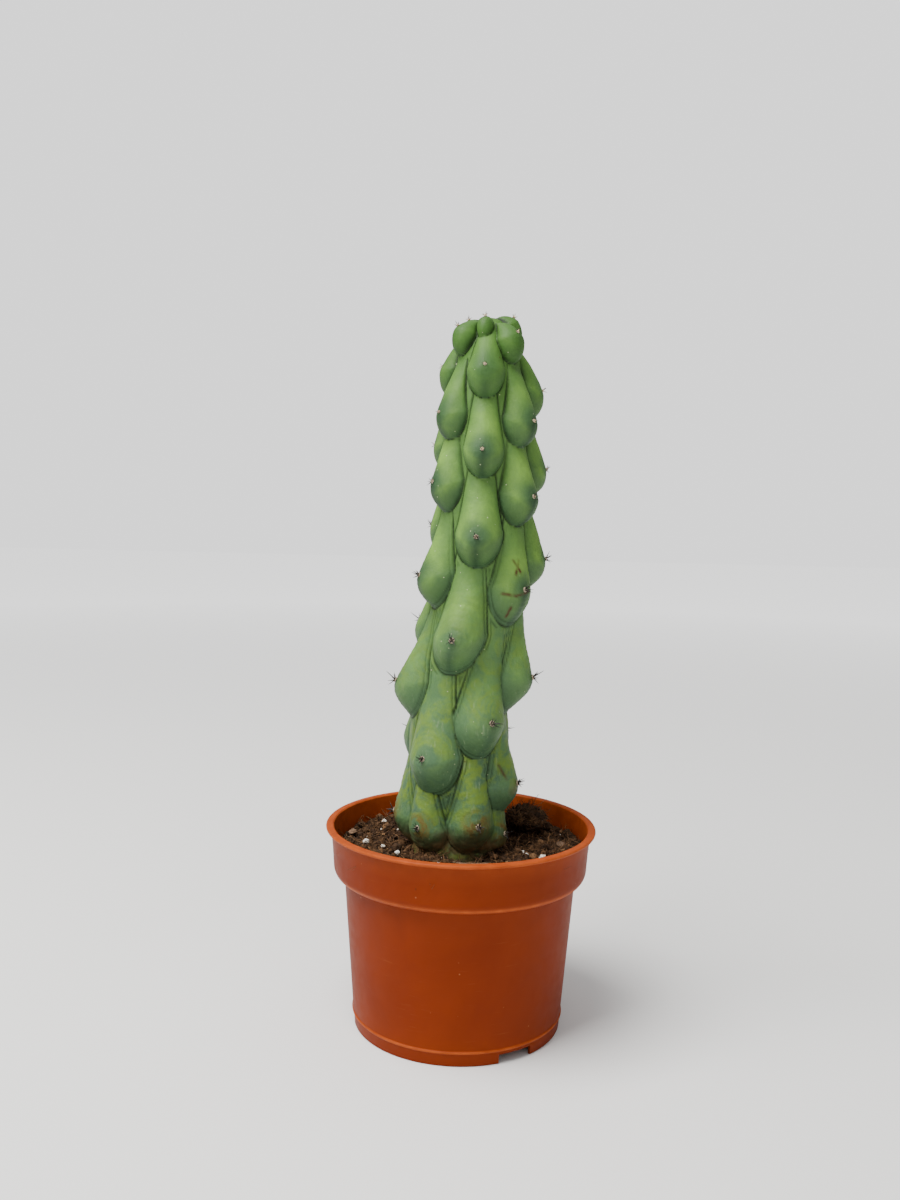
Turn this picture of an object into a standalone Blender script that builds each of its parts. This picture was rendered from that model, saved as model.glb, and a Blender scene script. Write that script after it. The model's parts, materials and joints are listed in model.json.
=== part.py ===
"""A tall bumpy cactus in a thin round nursery pot.

Metres, +Z up. The origin is the middle of the pot's foot, on the surface that it stands on, and -Y is
the front. Run it with: blender --background --python part.py
"""

import math
import random

import bmesh
import bpy
import numpy as np
from mathutils import Matrix, Vector
from mathutils.bvhtree import BVHTree

MM = 0.001
FIT_GAP = 0.3 * MM  # between pieces that touch
MERGE = 0.01 * MM

# The pot: a thin cone with a deep rim band, a rolled lip, and a foot ring under its floor.
RIM_RADIUS = 60 * MM
POT_HEIGHT = 90 * MM
POT_WALL = 1.2 * MM
LIP_OVERHANG = 2.3 * MM
LIP_THICKNESS = 1.6 * MM
BAND_DEPTH = 22 * MM
BAND_TAPER = 1.3 * MM
BAND_ROUNDING = 4.5 * MM
BAND_ROUNDING_INWARD = 0.65 * BAND_ROUNDING
BAND_STEP = 1.9 * MM
FOOT_RADIUS = 46.3 * MM
FOOT_HEIGHT = 4.8 * MM
FOOT_EDGE = 0.4 * MM
RIDGE_HEIGHT = 6.2 * MM
RIDGE_WIDTH = 1.2 * MM
RIDGE_RELIEF = 0.5 * MM
POT_STEPS = 64

# The gaps in the foot ring, and the drain holes in the floor.
NOTCH_COUNT = 3
NOTCH_WIDTH = 16 * MM
NOTCH_HEIGHT = 4.2 * MM
FIRST_NOTCH = math.radians(33)
MIDDLE_DRAIN_RADIUS = 6 * MM
DRAIN_RADIUS = 4 * MM
DRAIN_COUNT = 6
DRAIN_CIRCLE = 30 * MM

# The potting mix, which fills the pot to a little under its lip.
SOIL_DEPTH_BELOW_RIM = 9 * MM
SOIL_DIP = 1.5 * MM
SOIL_DIP_START = 8 * MM
SOIL_DIP_END = 17 * MM

# The stem: a core of changing radius round a line that leans over between two straight stretches.
STEM_HEIGHT = 222 * MM  # its core's top over the pot's rim
DOME_LENGTH = 40 * MM
FOOT_CORE_RADIUS = 19 * MM
LOW_CORE_RADIUS = 21.2 * MM
TOP_CORE_RADIUS = 16.8 * MM
FOOT_SWELL_END = 36 * MM  # over the soil
STEM_SET_DEPTH = 20 * MM
LEAN_MIDDLE = 2.2 * MM
LEAN_REACH = 5.2 * MM
LEAN_HEIGHT = 0.37  # of the stem's height over the rim
LEAN_LENGTH = 28 * MM
TWIST = math.radians(-26)  # of the columns, from the middle of the stem down to its foot
TWIST_START = 0.73
TWIST_END = 0.05

# The tubercles: seven columns, each with its own direction and its start within a row.
COLUMNS = ((-5, 0.0), (49, 0.61), (96, 0.28), (146, 0.92), (198, 0.42), (250, 0.93), (296, 0.47))
# Row by row from the crown down, in millimetres: the height of the areole over the rim, how far the
# tubercle stands out, half its width, and how far it reaches up and down from its tip. Then two powers:
# how hollow the slope down to the tip is (1 is straight), and how softly the belly runs out below.
ROWS = (-1, -0.45, 0, 1, 2, 3, 4, 5)
CROWN_LIMIT = -1.1
FOOT_LIMIT = 4.7
ROW_HEIGHT = (219, 209.5, 200, 168, 132, 89, 36, -12)
TUBERCLE_RISE = (4.4, 6.4, 7.6, 8.6, 9.0, 10.4, 8.6, 6.0)
TUBERCLE_HALF_WIDTH = (4.8, 8.4, 10.8, 11.6, 14.0, 16.4, 17.0, 13)
TUBERCLE_UP = (5, 8, 19, 26, 30, 36, 36, 20)
TUBERCLE_DOWN = (8, 9.5, 12.5, 13.5, 15.5, 18, 18, 12)
TUBERCLE_HOLLOW = (1.0, 0.75, 1.2, 1.5, 1.8, 2.3, 2.4, 1.2)
TUBERCLE_SOFTNESS = (0.7, 0.7, 0.85, 0.9, 1.15, 1.4, 1.5, 1.0)
# Some grew out of their place: (column, row) to degrees round, millimetres up and share of the rise.
STRAYS = {(0, -1): (-8, 0, 1), (1, -1): (-7, 4, 1.1), (6, -1): (0, 4, 1.1), (2, -1): (0, 5, 1),
          (6, 0): (4, -2, 0.85), (2, 0): (0, 2, 1), (5, 0): (0, 0, 0.75), (1, 1): (0, 3, 1),
          (2, 1): (0, 3, 1), (6, 1): (0, 3, 0.85), (5, 1): (0, 0, 0.7), (1, 2): (6, 3, 0.62),
          (2, 2): (0, 2, 0.92), (3, 2): (0, 0, 0.7), (6, 2): (0, 3, 1), (5, 2): (0, 0, 0.85),
          (1, 3): (0, -4, 1), (2, 3): (0, -4, 1), (3, 3): (0, 0, 0.4), (6, 3): (0, 3, 1),
          (6, 4): (0, -7, 1)}
FOOT_TUBERCLES = ((-38, 4), (62, 0))  # the oldest, by the soil: direction, and height over the rim
TONGUE_NARROWING = 0.4
AREOLE_ABOVE_TIP = 1.5 * MM
SAG = 0.4  # how far a tubercle hangs for each unit that it stands out, high on the stem
SAG_LOW = 0.12  # and low on it
FOOT_CLEAR = 1.5 * MM  # from the soil up to the first swelling
FOOT_FADE = 6 * MM
ROUND_SAMPLES = 68
HEIGHT_SAMPLES = 76

# Spine clusters: a felt pad with short spines.
PAD_RADIUS = 0.9 * MM
PAD_THICKNESS = 0.9 * MM
SPINE_LENGTH = 2.2 * MM
SPINE_COUNT = 6

# What lies on the soil: direction from the front, share of the way from the stem to the wall, and size.
PERLITE = ((-80, 0.64, 3.6), (-70, 0.47, 2.2), (-53, 0.41, 2.4), (-15, 0.44, 2.0), (58, 0.41, 2.0),
           (57, 0.64, 3.2), (68, 0.30, 2.0), (-125, 0.69, 2.6))
BARK_CHIPS = ((87, 0.72, 8.0), (-100, 0.86, 6.0))
CHIP_THICKNESS = 1.4 * MM
TWIG_RADIUS = 0.7 * MM
TWIG_LENGTH = 15 * MM
TWIG_DIRECTION = math.radians(8)
TWIG_SHARE = 0.39
CLOD_DIRECTION = math.radians(126)
CLOD_SHARE = 0.50
CLOD_SIZE = (20 * MM, 24 * MM, 11 * MM)


# ---------------------------------------------------------------- common

def direction(angle):
    """The level unit vector at this angle from the front, turning towards +X."""
    return Vector((math.sin(angle), -math.cos(angle), 0))


def material(name, colour, roughness):
    made = bpy.data.materials.new(name)
    made.use_nodes = True
    shader = made.node_tree.nodes["Principled BSDF"]
    shader.inputs["Base Color"].default_value = (*colour, 1)
    shader.inputs["Roughness"].default_value = roughness
    return made


def add(mesh, name, finish, smooth=True):
    """A named object of this mesh, with this material, in the cactus's collection."""
    made = bpy.data.objects.new(name, mesh)
    mesh.materials.append(finish)
    parts.objects.link(made)
    if smooth:
        mesh.shade_smooth()
    return made


def cutter(mesh, name):
    made = bpy.data.objects.new(name, mesh)
    cutters.objects.link(made)
    made.hide_render = True
    made.display_type = "WIRE"
    return made


def cut(piece, tool):
    boolean = piece.modifiers.new(f"cut by {tool.name}", "BOOLEAN")
    boolean.operation = "DIFFERENCE"
    boolean.object = tool


def turned(profile, name, finish, steps):
    """A body turned about +Z from (radius, height) points: up its inner side, then down its outer side."""
    mesh = bpy.data.meshes.new(name)
    points = [(radius, 0, height) for radius, height in profile]
    mesh.from_pydata(points, [(i, i + 1) for i in range(len(points) - 1)], [])
    piece = add(mesh, name, finish)
    screw = piece.modifiers.new("turn", "SCREW")
    screw.steps = screw.render_steps = steps
    screw.use_merge_vertices = True
    screw.merge_threshold = MERGE
    screw.use_smooth_shade = True
    return piece


def from_bmesh(shape, name):
    mesh = bpy.data.meshes.new(name)
    shape.to_mesh(mesh)
    shape.free()
    return mesh


def arc(centre, radius, start, end, count):
    """Points of a circular arc in the (radius, height) plane, angles in degrees from +radius."""
    angles = np.radians(np.linspace(start, end, count))
    return [(centre[0] + radius * math.cos(a), centre[1] + radius * math.sin(a)) for a in angles]


# ---------------------------------------------------------------- pot

BAND_TOP_RADIUS = RIM_RADIUS - LIP_OVERHANG
BAND_FOOT_RADIUS = BAND_TOP_RADIUS - BAND_TAPER
BAND_BOTTOM = POT_HEIGHT - BAND_DEPTH
WALL_TOP_RADIUS = BAND_FOOT_RADIUS - BAND_ROUNDING_INWARD - BAND_STEP
FLOOR_TOP = FOOT_HEIGHT + POT_WALL


def wall_radius(height):
    """The outside of the conical wall below the band."""
    share = height / BAND_BOTTOM
    return FOOT_RADIUS + (WALL_TOP_RADIUS - FOOT_RADIUS) * share


def inner_radius(height):
    """The inside of the pot, at any height over its floor."""
    if height < BAND_BOTTOM + POT_WALL:
        return wall_radius(height) - POT_WALL
    share = min(1, (height - BAND_BOTTOM - POT_WALL) / BAND_ROUNDING)
    low = WALL_TOP_RADIUS + BAND_STEP
    return low + (BAND_FOOT_RADIUS - low) * share - POT_WALL


def make_pot(finish):
    step_radius = BAND_FOOT_RADIUS - BAND_ROUNDING_INWARD
    lip = LIP_THICKNESS / 2
    ridge = RIDGE_WIDTH / 2
    knee = BAND_BOTTOM + POT_WALL
    inside = [(0, FLOOR_TOP), (inner_radius(FLOOR_TOP), FLOOR_TOP),
              (wall_radius(knee) - POT_WALL, knee), (inner_radius(knee), knee),
              (inner_radius(knee + BAND_ROUNDING), knee + BAND_ROUNDING),
              (BAND_TOP_RADIUS - POT_WALL, POT_HEIGHT - FOOT_EDGE)]
    top = [(BAND_TOP_RADIUS - POT_WALL + FOOT_EDGE, POT_HEIGHT)]
    top += arc((RIM_RADIUS - lip, POT_HEIGHT - lip), lip, 90, -90, 5)
    band = [(BAND_TOP_RADIUS, POT_HEIGHT - LIP_THICKNESS), (BAND_FOOT_RADIUS, BAND_BOTTOM + BAND_ROUNDING)]
    for share in (0.35, 0.7, 1.0):
        turn = share * math.pi / 2
        band.append((step_radius + BAND_ROUNDING_INWARD * math.cos(turn),
                     BAND_BOTTOM + BAND_ROUNDING * (1 - math.sin(turn))))
    wall = [(WALL_TOP_RADIUS, BAND_BOTTOM),
            (wall_radius(RIDGE_HEIGHT + ridge), RIDGE_HEIGHT + ridge),
            (wall_radius(RIDGE_HEIGHT) + RIDGE_RELIEF, RIDGE_HEIGHT + ridge / 2),
            (wall_radius(RIDGE_HEIGHT) + RIDGE_RELIEF, RIDGE_HEIGHT - ridge / 2),
            (wall_radius(RIDGE_HEIGHT - ridge), RIDGE_HEIGHT - ridge)]
    foot = [(FOOT_RADIUS, FOOT_EDGE), (FOOT_RADIUS - FOOT_EDGE, 0),
            (FOOT_RADIUS - POT_WALL, 0), (FOOT_RADIUS - POT_WALL, FOOT_HEIGHT), (0, FOOT_HEIGHT)]
    pot = turned(inside + top + band + wall + foot, "pot", finish, POT_STEPS)

    for number in range(NOTCH_COUNT):
        angle = FIRST_NOTCH + number * math.tau / NOTCH_COUNT
        place = direction(angle) * FOOT_RADIUS
        shape = bmesh.new()
        size = Matrix.Diagonal((NOTCH_WIDTH, 6 * POT_WALL, 2 * NOTCH_HEIGHT, 1))
        turn = Matrix.Translation(place) @ Matrix.Rotation(angle, 4, "Z") @ size
        bmesh.ops.create_cube(shape, size=1, matrix=turn)
        cut(pot, cutter(from_bmesh(shape, f"notch_cutter_{number + 1}"), f"notch_cutter_{number + 1}"))

    drains = [(Vector(), MIDDLE_DRAIN_RADIUS)]
    for number in range(DRAIN_COUNT):
        angle = FIRST_NOTCH + (number + 0.5) * math.tau / DRAIN_COUNT
        drains.append((direction(angle) * DRAIN_CIRCLE, DRAIN_RADIUS))
    for number, (place, radius) in enumerate(drains):
        shape = bmesh.new()
        middle = Matrix.Translation(place + Vector((0, 0, FOOT_HEIGHT + POT_WALL / 2)))
        middle @= Matrix.Rotation(FIRST_NOTCH, 4, "Z")
        bmesh.ops.create_cone(shape, cap_ends=True, segments=12, radius1=radius, radius2=radius,
                              depth=3 * POT_WALL, matrix=middle)
        cut(pot, cutter(from_bmesh(shape, f"drain_cutter_{number + 1}"), f"drain_cutter_{number + 1}"))
    return pot


# ---------------------------------------------------------------- stem

def smoothstep(low, high, value):
    share = np.clip((value - low) / (high - low), 0, 1)
    return share * share * (3 - 2 * share)


SOIL_LEVEL = POT_HEIGHT - SOIL_DEPTH_BELOW_RIM
SOIL_AT_STEM = SOIL_LEVEL - SOIL_DIP
STEM_TOP = POT_HEIGHT + STEM_HEIGHT
STEM_BOTTOM = SOIL_AT_STEM - STEM_SET_DEPTH


def stem_axis(height):
    """How far the stem's middle stands to +X at a height: two straight stretches and a lean between."""
    middle = POT_HEIGHT + LEAN_HEIGHT * STEM_HEIGHT
    return LEAN_MIDDLE + LEAN_REACH * np.tanh((height - middle) / LEAN_LENGTH)


def core_radius(height):
    """The stem's radius between its tubercles: a waist at the soil, then a slow taper, and a dome."""
    taper = smoothstep(SOIL_LEVEL + FOOT_SWELL_END, STEM_TOP, height)
    body = LOW_CORE_RADIUS + (TOP_CORE_RADIUS - LOW_CORE_RADIUS) * taper
    swell = smoothstep(SOIL_AT_STEM, SOIL_LEVEL + FOOT_SWELL_END, height)
    body = FOOT_CORE_RADIUS + (body - FOOT_CORE_RADIUS) * swell
    share = np.clip((STEM_TOP - height) / DOME_LENGTH, 0, 1)
    return body * (1 - (1 - share) ** 1.5) ** 0.4


def core_normal(height):
    """How much of the core's outward normal is level, and how much is up."""
    step = 0.2 * MM
    slope = (core_radius(height - step) - core_radius(height + step)) / (2 * step)
    return 1 / np.hypot(1, slope), slope / np.hypot(1, slope)


def core_length(height):
    """The distance along the core from its foot up to this height."""
    levels = np.linspace(STEM_BOTTOM, STEM_TOP, 600)
    steps = np.hypot(np.diff(core_radius(levels)), np.diff(levels))
    return np.interp(height, levels, np.concatenate(([0], np.cumsum(steps))))


def column_twist(height):
    share = (height - POT_HEIGHT) / STEM_HEIGHT
    return TWIST * (1 - smoothstep(TWIST_END, TWIST_START, share))


def by_row(values, row):
    """A row-by-row value, in metres, between whole rows too."""
    return float(np.interp(row, ROWS, values)) * MM


def tubercle_list():
    """(angle, height of the areole, row) of each tubercle, column by column from the crown down."""
    found = []
    for column, (turn, start) in enumerate(COLUMNS):
        for whole in range(ROWS[0] - 1, ROWS[-1] + 1):
            row = whole + start
            if CROWN_LIMIT < row < FOOT_LIMIT:
                aside, up, share = STRAYS.get((column, whole), (0, 0, 1))
                height = min(POT_HEIGHT + by_row(ROW_HEIGHT, row) + up * MM, STEM_TOP - MM)
                angle = math.radians(turn + aside) + float(column_twist(height))
                found.append((angle, height, row, share * by_row(TUBERCLE_RISE, row)))
    for turn, height in FOOT_TUBERCLES:
        rise = by_row(TUBERCLE_RISE, ROWS[-1])
        found.append((math.radians(turn), POT_HEIGHT + height * MM, ROWS[-1], rise))
    return found


def tubercle_rise(angle, height, tubercle):
    """How far one tubercle lifts the surface: a steep round belly with a tongue that tapers up from it."""
    turn, areole, row, rise = tubercle
    above = core_length(height) - core_length(areole) + AREOLE_ABOVE_TIP
    reach = np.where(above > 0, by_row(TUBERCLE_UP, row), by_row(TUBERCLE_DOWN, row))
    along = np.clip(np.abs(above) / reach, 0, 1)
    chord = 2 * np.abs(np.sin((angle - turn) / 2)) * (core_radius(height) + 0.6 * rise)
    across = chord / by_row(TUBERCLE_HALF_WIDTH, row)
    softness = by_row(TUBERCLE_SOFTNESS, row) / MM
    tongue = (1 - along ** 1.3) ** (by_row(TUBERCLE_HOLLOW, row) / MM)
    upper = tongue * np.clip(1 - (across / (1 - TONGUE_NARROWING * along)) ** 2, 0, 1) ** softness
    lower = np.clip(1 - across ** 2 - along ** 2, 0, 1) ** softness
    return rise * np.where(above > 0, upper, lower)


def stem_surface(angle, height, tubercles):
    """The stem's points at these angles and heights: the core, pushed out and down by the tubercles."""
    rise = np.zeros(np.broadcast(angle, height).shape)
    for tubercle in tubercles:
        rise = np.maximum(rise, tubercle_rise(angle, height, tubercle))
    clear = SOIL_AT_STEM + FOOT_CLEAR
    rise = rise * smoothstep(clear, clear + FOOT_FADE, height)
    outward, upward = core_normal(height)
    radius = core_radius(height) + rise * outward
    sag = SAG_LOW + (SAG - SAG_LOW) * smoothstep(POT_HEIGHT, POT_HEIGHT + STEM_HEIGHT / 2, height)
    level = height + rise * (upward - sag * (1 - smoothstep(STEM_TOP - DOME_LENGTH, STEM_TOP, height)))
    return np.stack((stem_axis(height) + radius * np.sin(angle), -radius * np.cos(angle), level), axis=-1)


def make_stem(finish, tubercles):
    """Rings from the foot up to the crown, closer together on the dome, with a point at each end."""
    share = np.linspace(0, 1, HEIGHT_SAMPLES + 1)[1:]
    dome = DOME_LENGTH * (1 - np.cos(np.linspace(0, math.pi / 2, HEIGHT_SAMPLES // 6)))[1:]
    shaft = STEM_TOP - DOME_LENGTH - share * (STEM_TOP - DOME_LENGTH - SOIL_AT_STEM)
    heights = np.concatenate((STEM_TOP - dome, shaft[: -1], (SOIL_AT_STEM, STEM_BOTTOM)))
    angles = np.linspace(0, math.tau, ROUND_SAMPLES, endpoint=False)
    rings = stem_surface(angles[None, :], heights[:, None], tubercles)
    top = [(stem_axis(STEM_TOP), 0, STEM_TOP)]
    bottom = [(stem_axis(STEM_BOTTOM), 0, STEM_BOTTOM)]
    points = np.concatenate((rings.reshape(-1, 3), top, bottom))
    count = ROUND_SAMPLES
    faces = []
    for ring in range(len(heights) - 1):
        for step in range(count):
            after = (step + 1) % count
            faces.append((ring * count + after, ring * count + step,
                          (ring + 1) * count + step, (ring + 1) * count + after))
    crown, base = len(points) - 2, len(points) - 1
    last = (len(heights) - 1) * count
    for step in range(count):
        after = (step + 1) % count
        faces.append((crown, step, after))
        faces.append((base, last + after, last + step))
    mesh = bpy.data.meshes.new("cactus_stem")
    mesh.from_pydata(points.tolist(), [], faces)
    shape = bmesh.new()
    shape.from_mesh(mesh)
    bmesh.ops.recalc_face_normals(shape, faces=shape.faces)
    shape.to_mesh(mesh)
    shape.free()
    return add(mesh, "cactus_stem", finish)


# ---------------------------------------------------------------- spines

def make_spine_cluster(name, place, out, finish, seed):
    """A low felt pad whose upper faces are drawn out into thin spines, set just off the skin."""
    pick = random.Random(seed)
    shape = bmesh.new()
    bmesh.ops.create_icosphere(shape, subdivisions=1, radius=PAD_RADIUS)
    bmesh.ops.scale(shape, vec=(1, 1, PAD_THICKNESS / (2 * PAD_RADIUS)), verts=shape.verts)
    shape.normal_update()
    upper = sorted((f for f in shape.faces if f.normal.z > 0.05), key=lambda f: f.index)
    for face in pick.sample(upper, min(SPINE_COUNT, len(upper))):
        lean = (face.calc_center_median() * Vector((1, 1, 0)) / PAD_RADIUS + Vector((0, 0, 0.7))).normalized()
        tip = bmesh.ops.poke(shape, faces=[face])["verts"][0]
        tip.co += lean * SPINE_LENGTH * pick.uniform(0.6, 1.1)
    turn = Vector((0, 0, 1)).rotation_difference(out).to_matrix().to_4x4()
    cluster = add(from_bmesh(shape, name), name, finish, smooth=False)
    cluster.matrix_world = Matrix.Translation(place + out * (FIT_GAP + PAD_THICKNESS / 2)) @ turn
    return cluster


def make_spines(stem, finish, tubercles):
    """One cluster on each tubercle, over the place where a line to the stem's axis meets the skin."""
    skin = BVHTree.FromPolygons([v.co for v in stem.data.vertices], [p.vertices for p in stem.data.polygons])
    for number, (turn, areole, _, _) in enumerate(tubercles):
        step = 0.4 * MM
        height = areole + np.array([0, step, -step])
        angle = np.array([turn] * 3)
        middle, above, below = (Vector(p) for p in stem_surface(angle, height, tubercles))
        side = Vector(stem_surface(np.array([turn + 0.02]), height[:1], tubercles)[0])
        out = (side - middle).cross(above - below).normalized()
        hit = skin.ray_cast(middle + out * 8 * MM, -out)[0]
        make_spine_cluster(f"spines_{number + 1:02d}", hit, out, finish, number)


# ---------------------------------------------------------------- potting mix and what lies on it

def soil_height(radius):
    """The mix's surface: level by the wall, and dipping to the stem."""
    level = smoothstep(FOOT_CORE_RADIUS + SOIL_DIP_START, FOOT_CORE_RADIUS + SOIL_DIP_END, radius)
    return SOIL_LEVEL - SOIL_DIP * (1 - float(level))


def from_axis(share):
    """The distance from the pot's axis of a place this share of the way from the stem's foot to the wall."""
    return FOOT_CORE_RADIUS + (inner_radius(SOIL_LEVEL) - FOOT_CORE_RADIUS) * share


def make_soil(finish):
    outer = inner_radius(SOIL_LEVEL) - FIT_GAP
    knee = BAND_BOTTOM + POT_WALL
    top = [(0, soil_height(0))]
    top += [(r, soil_height(r)) for r in np.linspace(FOOT_CORE_RADIUS + SOIL_DIP_START, outer, 8)]
    side = [(inner_radius(knee + BAND_ROUNDING) - FIT_GAP, knee + BAND_ROUNDING + FIT_GAP),
            (inner_radius(knee) - FIT_GAP, knee + FIT_GAP),
            (wall_radius(knee) - POT_WALL - FIT_GAP, knee + FIT_GAP),
            (inner_radius(FLOOR_TOP) - FIT_GAP, FLOOR_TOP + FIT_GAP), (0, FLOOR_TOP + FIT_GAP)]
    soil = turned(top + side, "potting_mix", finish, POT_STEPS)
    shape = bmesh.new()
    height = 2 * STEM_SET_DEPTH
    place = Matrix.Translation((float(stem_axis(STEM_BOTTOM)), 0, STEM_BOTTOM - FIT_GAP + height / 2))
    bmesh.ops.create_cone(shape, cap_ends=True, segments=ROUND_SAMPLES, depth=height, matrix=place,
                          radius1=FOOT_CORE_RADIUS + 2 * FIT_GAP, radius2=FOOT_CORE_RADIUS + 2 * FIT_GAP)
    cut(soil, cutter(from_bmesh(shape, "stem_hole_cutter"), "stem_hole_cutter"))
    return soil


def lump(name, size, finish, seed, detail, roughness):
    """A rounded lump of about this size on its own origin, with its vertices moved in and out a little."""
    pick = random.Random(seed)
    shape = bmesh.new()
    bmesh.ops.create_icosphere(shape, subdivisions=detail, radius=0.5)
    for vert in shape.verts:
        vert.co *= 1 - roughness * pick.random()
    bmesh.ops.scale(shape, vec=size, verts=shape.verts)
    return add(from_bmesh(shape, name), name, finish, smooth=False)


def make_clod(finish):
    clod = lump("soil_clod", CLOD_SIZE, finish, 5, 3, 0.16)
    lowest = -0.3 * CLOD_SIZE[2]
    for vert in clod.data.vertices:
        vert.co.z = max(vert.co.z, lowest)
    shape = bmesh.new()
    shape.from_mesh(clod.data)
    bmesh.ops.dissolve_limit(shape, angle_limit=0.001, verts=shape.verts, edges=shape.edges)
    bmesh.ops.triangulate(shape, faces=shape.faces)
    shape.to_mesh(clod.data)
    shape.free()
    place = direction(CLOD_DIRECTION) * from_axis(CLOD_SHARE)
    clod.location = (place.x, place.y, SOIL_LEVEL + FIT_GAP - lowest)
    return clod


def make_perlite(finish):
    for number, (turn, share, size) in enumerate(PERLITE):
        grain_size = (size * MM, 0.8 * size * MM, 0.7 * size * MM)
        grain = lump(f"perlite_{number + 1}", grain_size, finish, 20 + number, 2, 0.15)
        place = direction(math.radians(turn)) * from_axis(share)
        height = soil_height(from_axis(share)) + FIT_GAP + grain_size[2] / 2
        turned_round = Matrix.Rotation(math.radians(turn), 4, "Z")
        grain.matrix_world = Matrix.Translation((place.x, place.y, height)) @ turned_round


def make_bark(finish):
    for number, (turn, share, length) in enumerate(BARK_CHIPS):
        name = f"bark_chip_{number + 1}"
        shape = bmesh.new()
        bmesh.ops.create_cube(shape, size=1)
        bmesh.ops.scale(shape, vec=(length * MM, 0.45 * length * MM, CHIP_THICKNESS), verts=shape.verts)
        bmesh.ops.bevel(shape, geom=shape.edges, offset=0.25 * CHIP_THICKNESS, segments=1, affect="EDGES")
        chip = add(from_bmesh(shape, name), name, finish, smooth=False)
        place = direction(math.radians(turn)) * from_axis(share)
        height = soil_height(from_axis(share)) + FIT_GAP + CHIP_THICKNESS / 2
        turned_round = Matrix.Rotation(math.radians(turn), 4, "Z")
        chip.matrix_world = Matrix.Translation((place.x, place.y, height)) @ turned_round


def make_twig(finish):
    line = bpy.data.curves.new("twig", "CURVE")
    line.dimensions = "3D"
    line.bevel_depth = TWIG_RADIUS
    line.bevel_resolution = 2
    line.use_fill_caps = True
    spline = line.splines.new("POLY")
    spline.points.add(4)
    for share, point in zip(np.linspace(-0.5, 0.5, 5), spline.points):
        point.co = (share * TWIG_LENGTH, (share ** 2 - 0.1) * 0.25 * TWIG_LENGTH, 0, 1)
    twig = bpy.data.objects.new("twig", line)
    line.materials.append(finish)
    parts.objects.link(twig)
    place = direction(TWIG_DIRECTION) * from_axis(TWIG_SHARE)
    twig.location = (place.x, place.y, soil_height(from_axis(TWIG_SHARE)) + FIT_GAP + TWIG_RADIUS)
    twig.rotation_euler.z = TWIG_DIRECTION
    return twig


# ---------------------------------------------------------------- the whole plant

for thing in list(bpy.data.objects):
    bpy.data.objects.remove(thing, do_unlink=True)
parts = bpy.data.collections.new("potted_tall_cactus")
cutters = bpy.data.collections.new("cutters")
bpy.context.scene.collection.children.link(parts)
bpy.context.scene.collection.children.link(cutters)

all_tubercles = tubercle_list()
make_pot(material("pot_plastic", (0.36, 0.085, 0.028), 0.42))
potting = material("potting_mix", (0.045, 0.025, 0.014), 0.95)
make_soil(potting)
make_clod(potting)
the_stem = make_stem(material("cactus_skin", (0.16, 0.30, 0.12), 0.55), all_tubercles)
make_spines(the_stem, material("spine", (0.55, 0.42, 0.28), 0.6), all_tubercles)
make_perlite(material("perlite", (0.85, 0.83, 0.78), 0.9))
bark = material("bark", (0.12, 0.06, 0.03), 0.9)
make_bark(bark)
make_twig(bark)
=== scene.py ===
import json
import math

import bpy
import numpy as np
from mathutils import Matrix, Vector

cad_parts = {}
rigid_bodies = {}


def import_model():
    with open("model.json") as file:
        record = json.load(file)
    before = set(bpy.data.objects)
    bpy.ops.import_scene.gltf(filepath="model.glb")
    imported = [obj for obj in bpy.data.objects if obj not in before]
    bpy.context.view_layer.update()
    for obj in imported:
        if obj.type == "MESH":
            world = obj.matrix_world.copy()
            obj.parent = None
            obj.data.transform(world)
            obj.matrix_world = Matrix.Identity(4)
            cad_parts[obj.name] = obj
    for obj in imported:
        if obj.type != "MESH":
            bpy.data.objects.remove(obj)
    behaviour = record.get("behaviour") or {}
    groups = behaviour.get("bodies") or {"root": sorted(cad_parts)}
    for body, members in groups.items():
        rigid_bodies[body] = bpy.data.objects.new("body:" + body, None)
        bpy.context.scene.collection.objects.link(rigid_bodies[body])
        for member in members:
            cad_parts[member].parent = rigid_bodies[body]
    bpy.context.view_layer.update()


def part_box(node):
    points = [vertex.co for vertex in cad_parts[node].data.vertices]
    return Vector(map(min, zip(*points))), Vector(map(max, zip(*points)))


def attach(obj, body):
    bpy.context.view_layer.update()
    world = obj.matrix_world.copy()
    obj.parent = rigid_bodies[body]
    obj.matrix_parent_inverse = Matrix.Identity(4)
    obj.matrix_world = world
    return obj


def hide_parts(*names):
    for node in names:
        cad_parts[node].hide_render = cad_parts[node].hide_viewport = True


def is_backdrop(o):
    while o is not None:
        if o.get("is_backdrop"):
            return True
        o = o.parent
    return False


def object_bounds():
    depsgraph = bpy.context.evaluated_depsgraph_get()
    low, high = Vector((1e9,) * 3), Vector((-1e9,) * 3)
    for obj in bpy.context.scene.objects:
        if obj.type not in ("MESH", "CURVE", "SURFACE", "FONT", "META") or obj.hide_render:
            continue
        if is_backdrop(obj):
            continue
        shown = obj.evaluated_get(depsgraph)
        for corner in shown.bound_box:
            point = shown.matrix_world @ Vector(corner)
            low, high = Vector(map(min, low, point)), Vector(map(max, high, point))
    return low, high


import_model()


# ---- Camera, floor and light ----
# A pale floor that runs on into a white surround, its far part lit by a painted glow, a wide soft light
# overhead on the left, a weaker one on the right, and a camera at eye level with the middle of the plant,
# tipped a little down.

MM = 0.001
CAMERA_PLACE = (0, -0.490, 0.234)
CAMERA_YAW = math.radians(0.83)
CAMERA_PITCH = math.radians(90 - 5.14)
CAMERA_ROLL = math.radians(1.29)
CAMERA_LENS = 33.54  # millimetres, on a frame 36 mm tall

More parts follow.
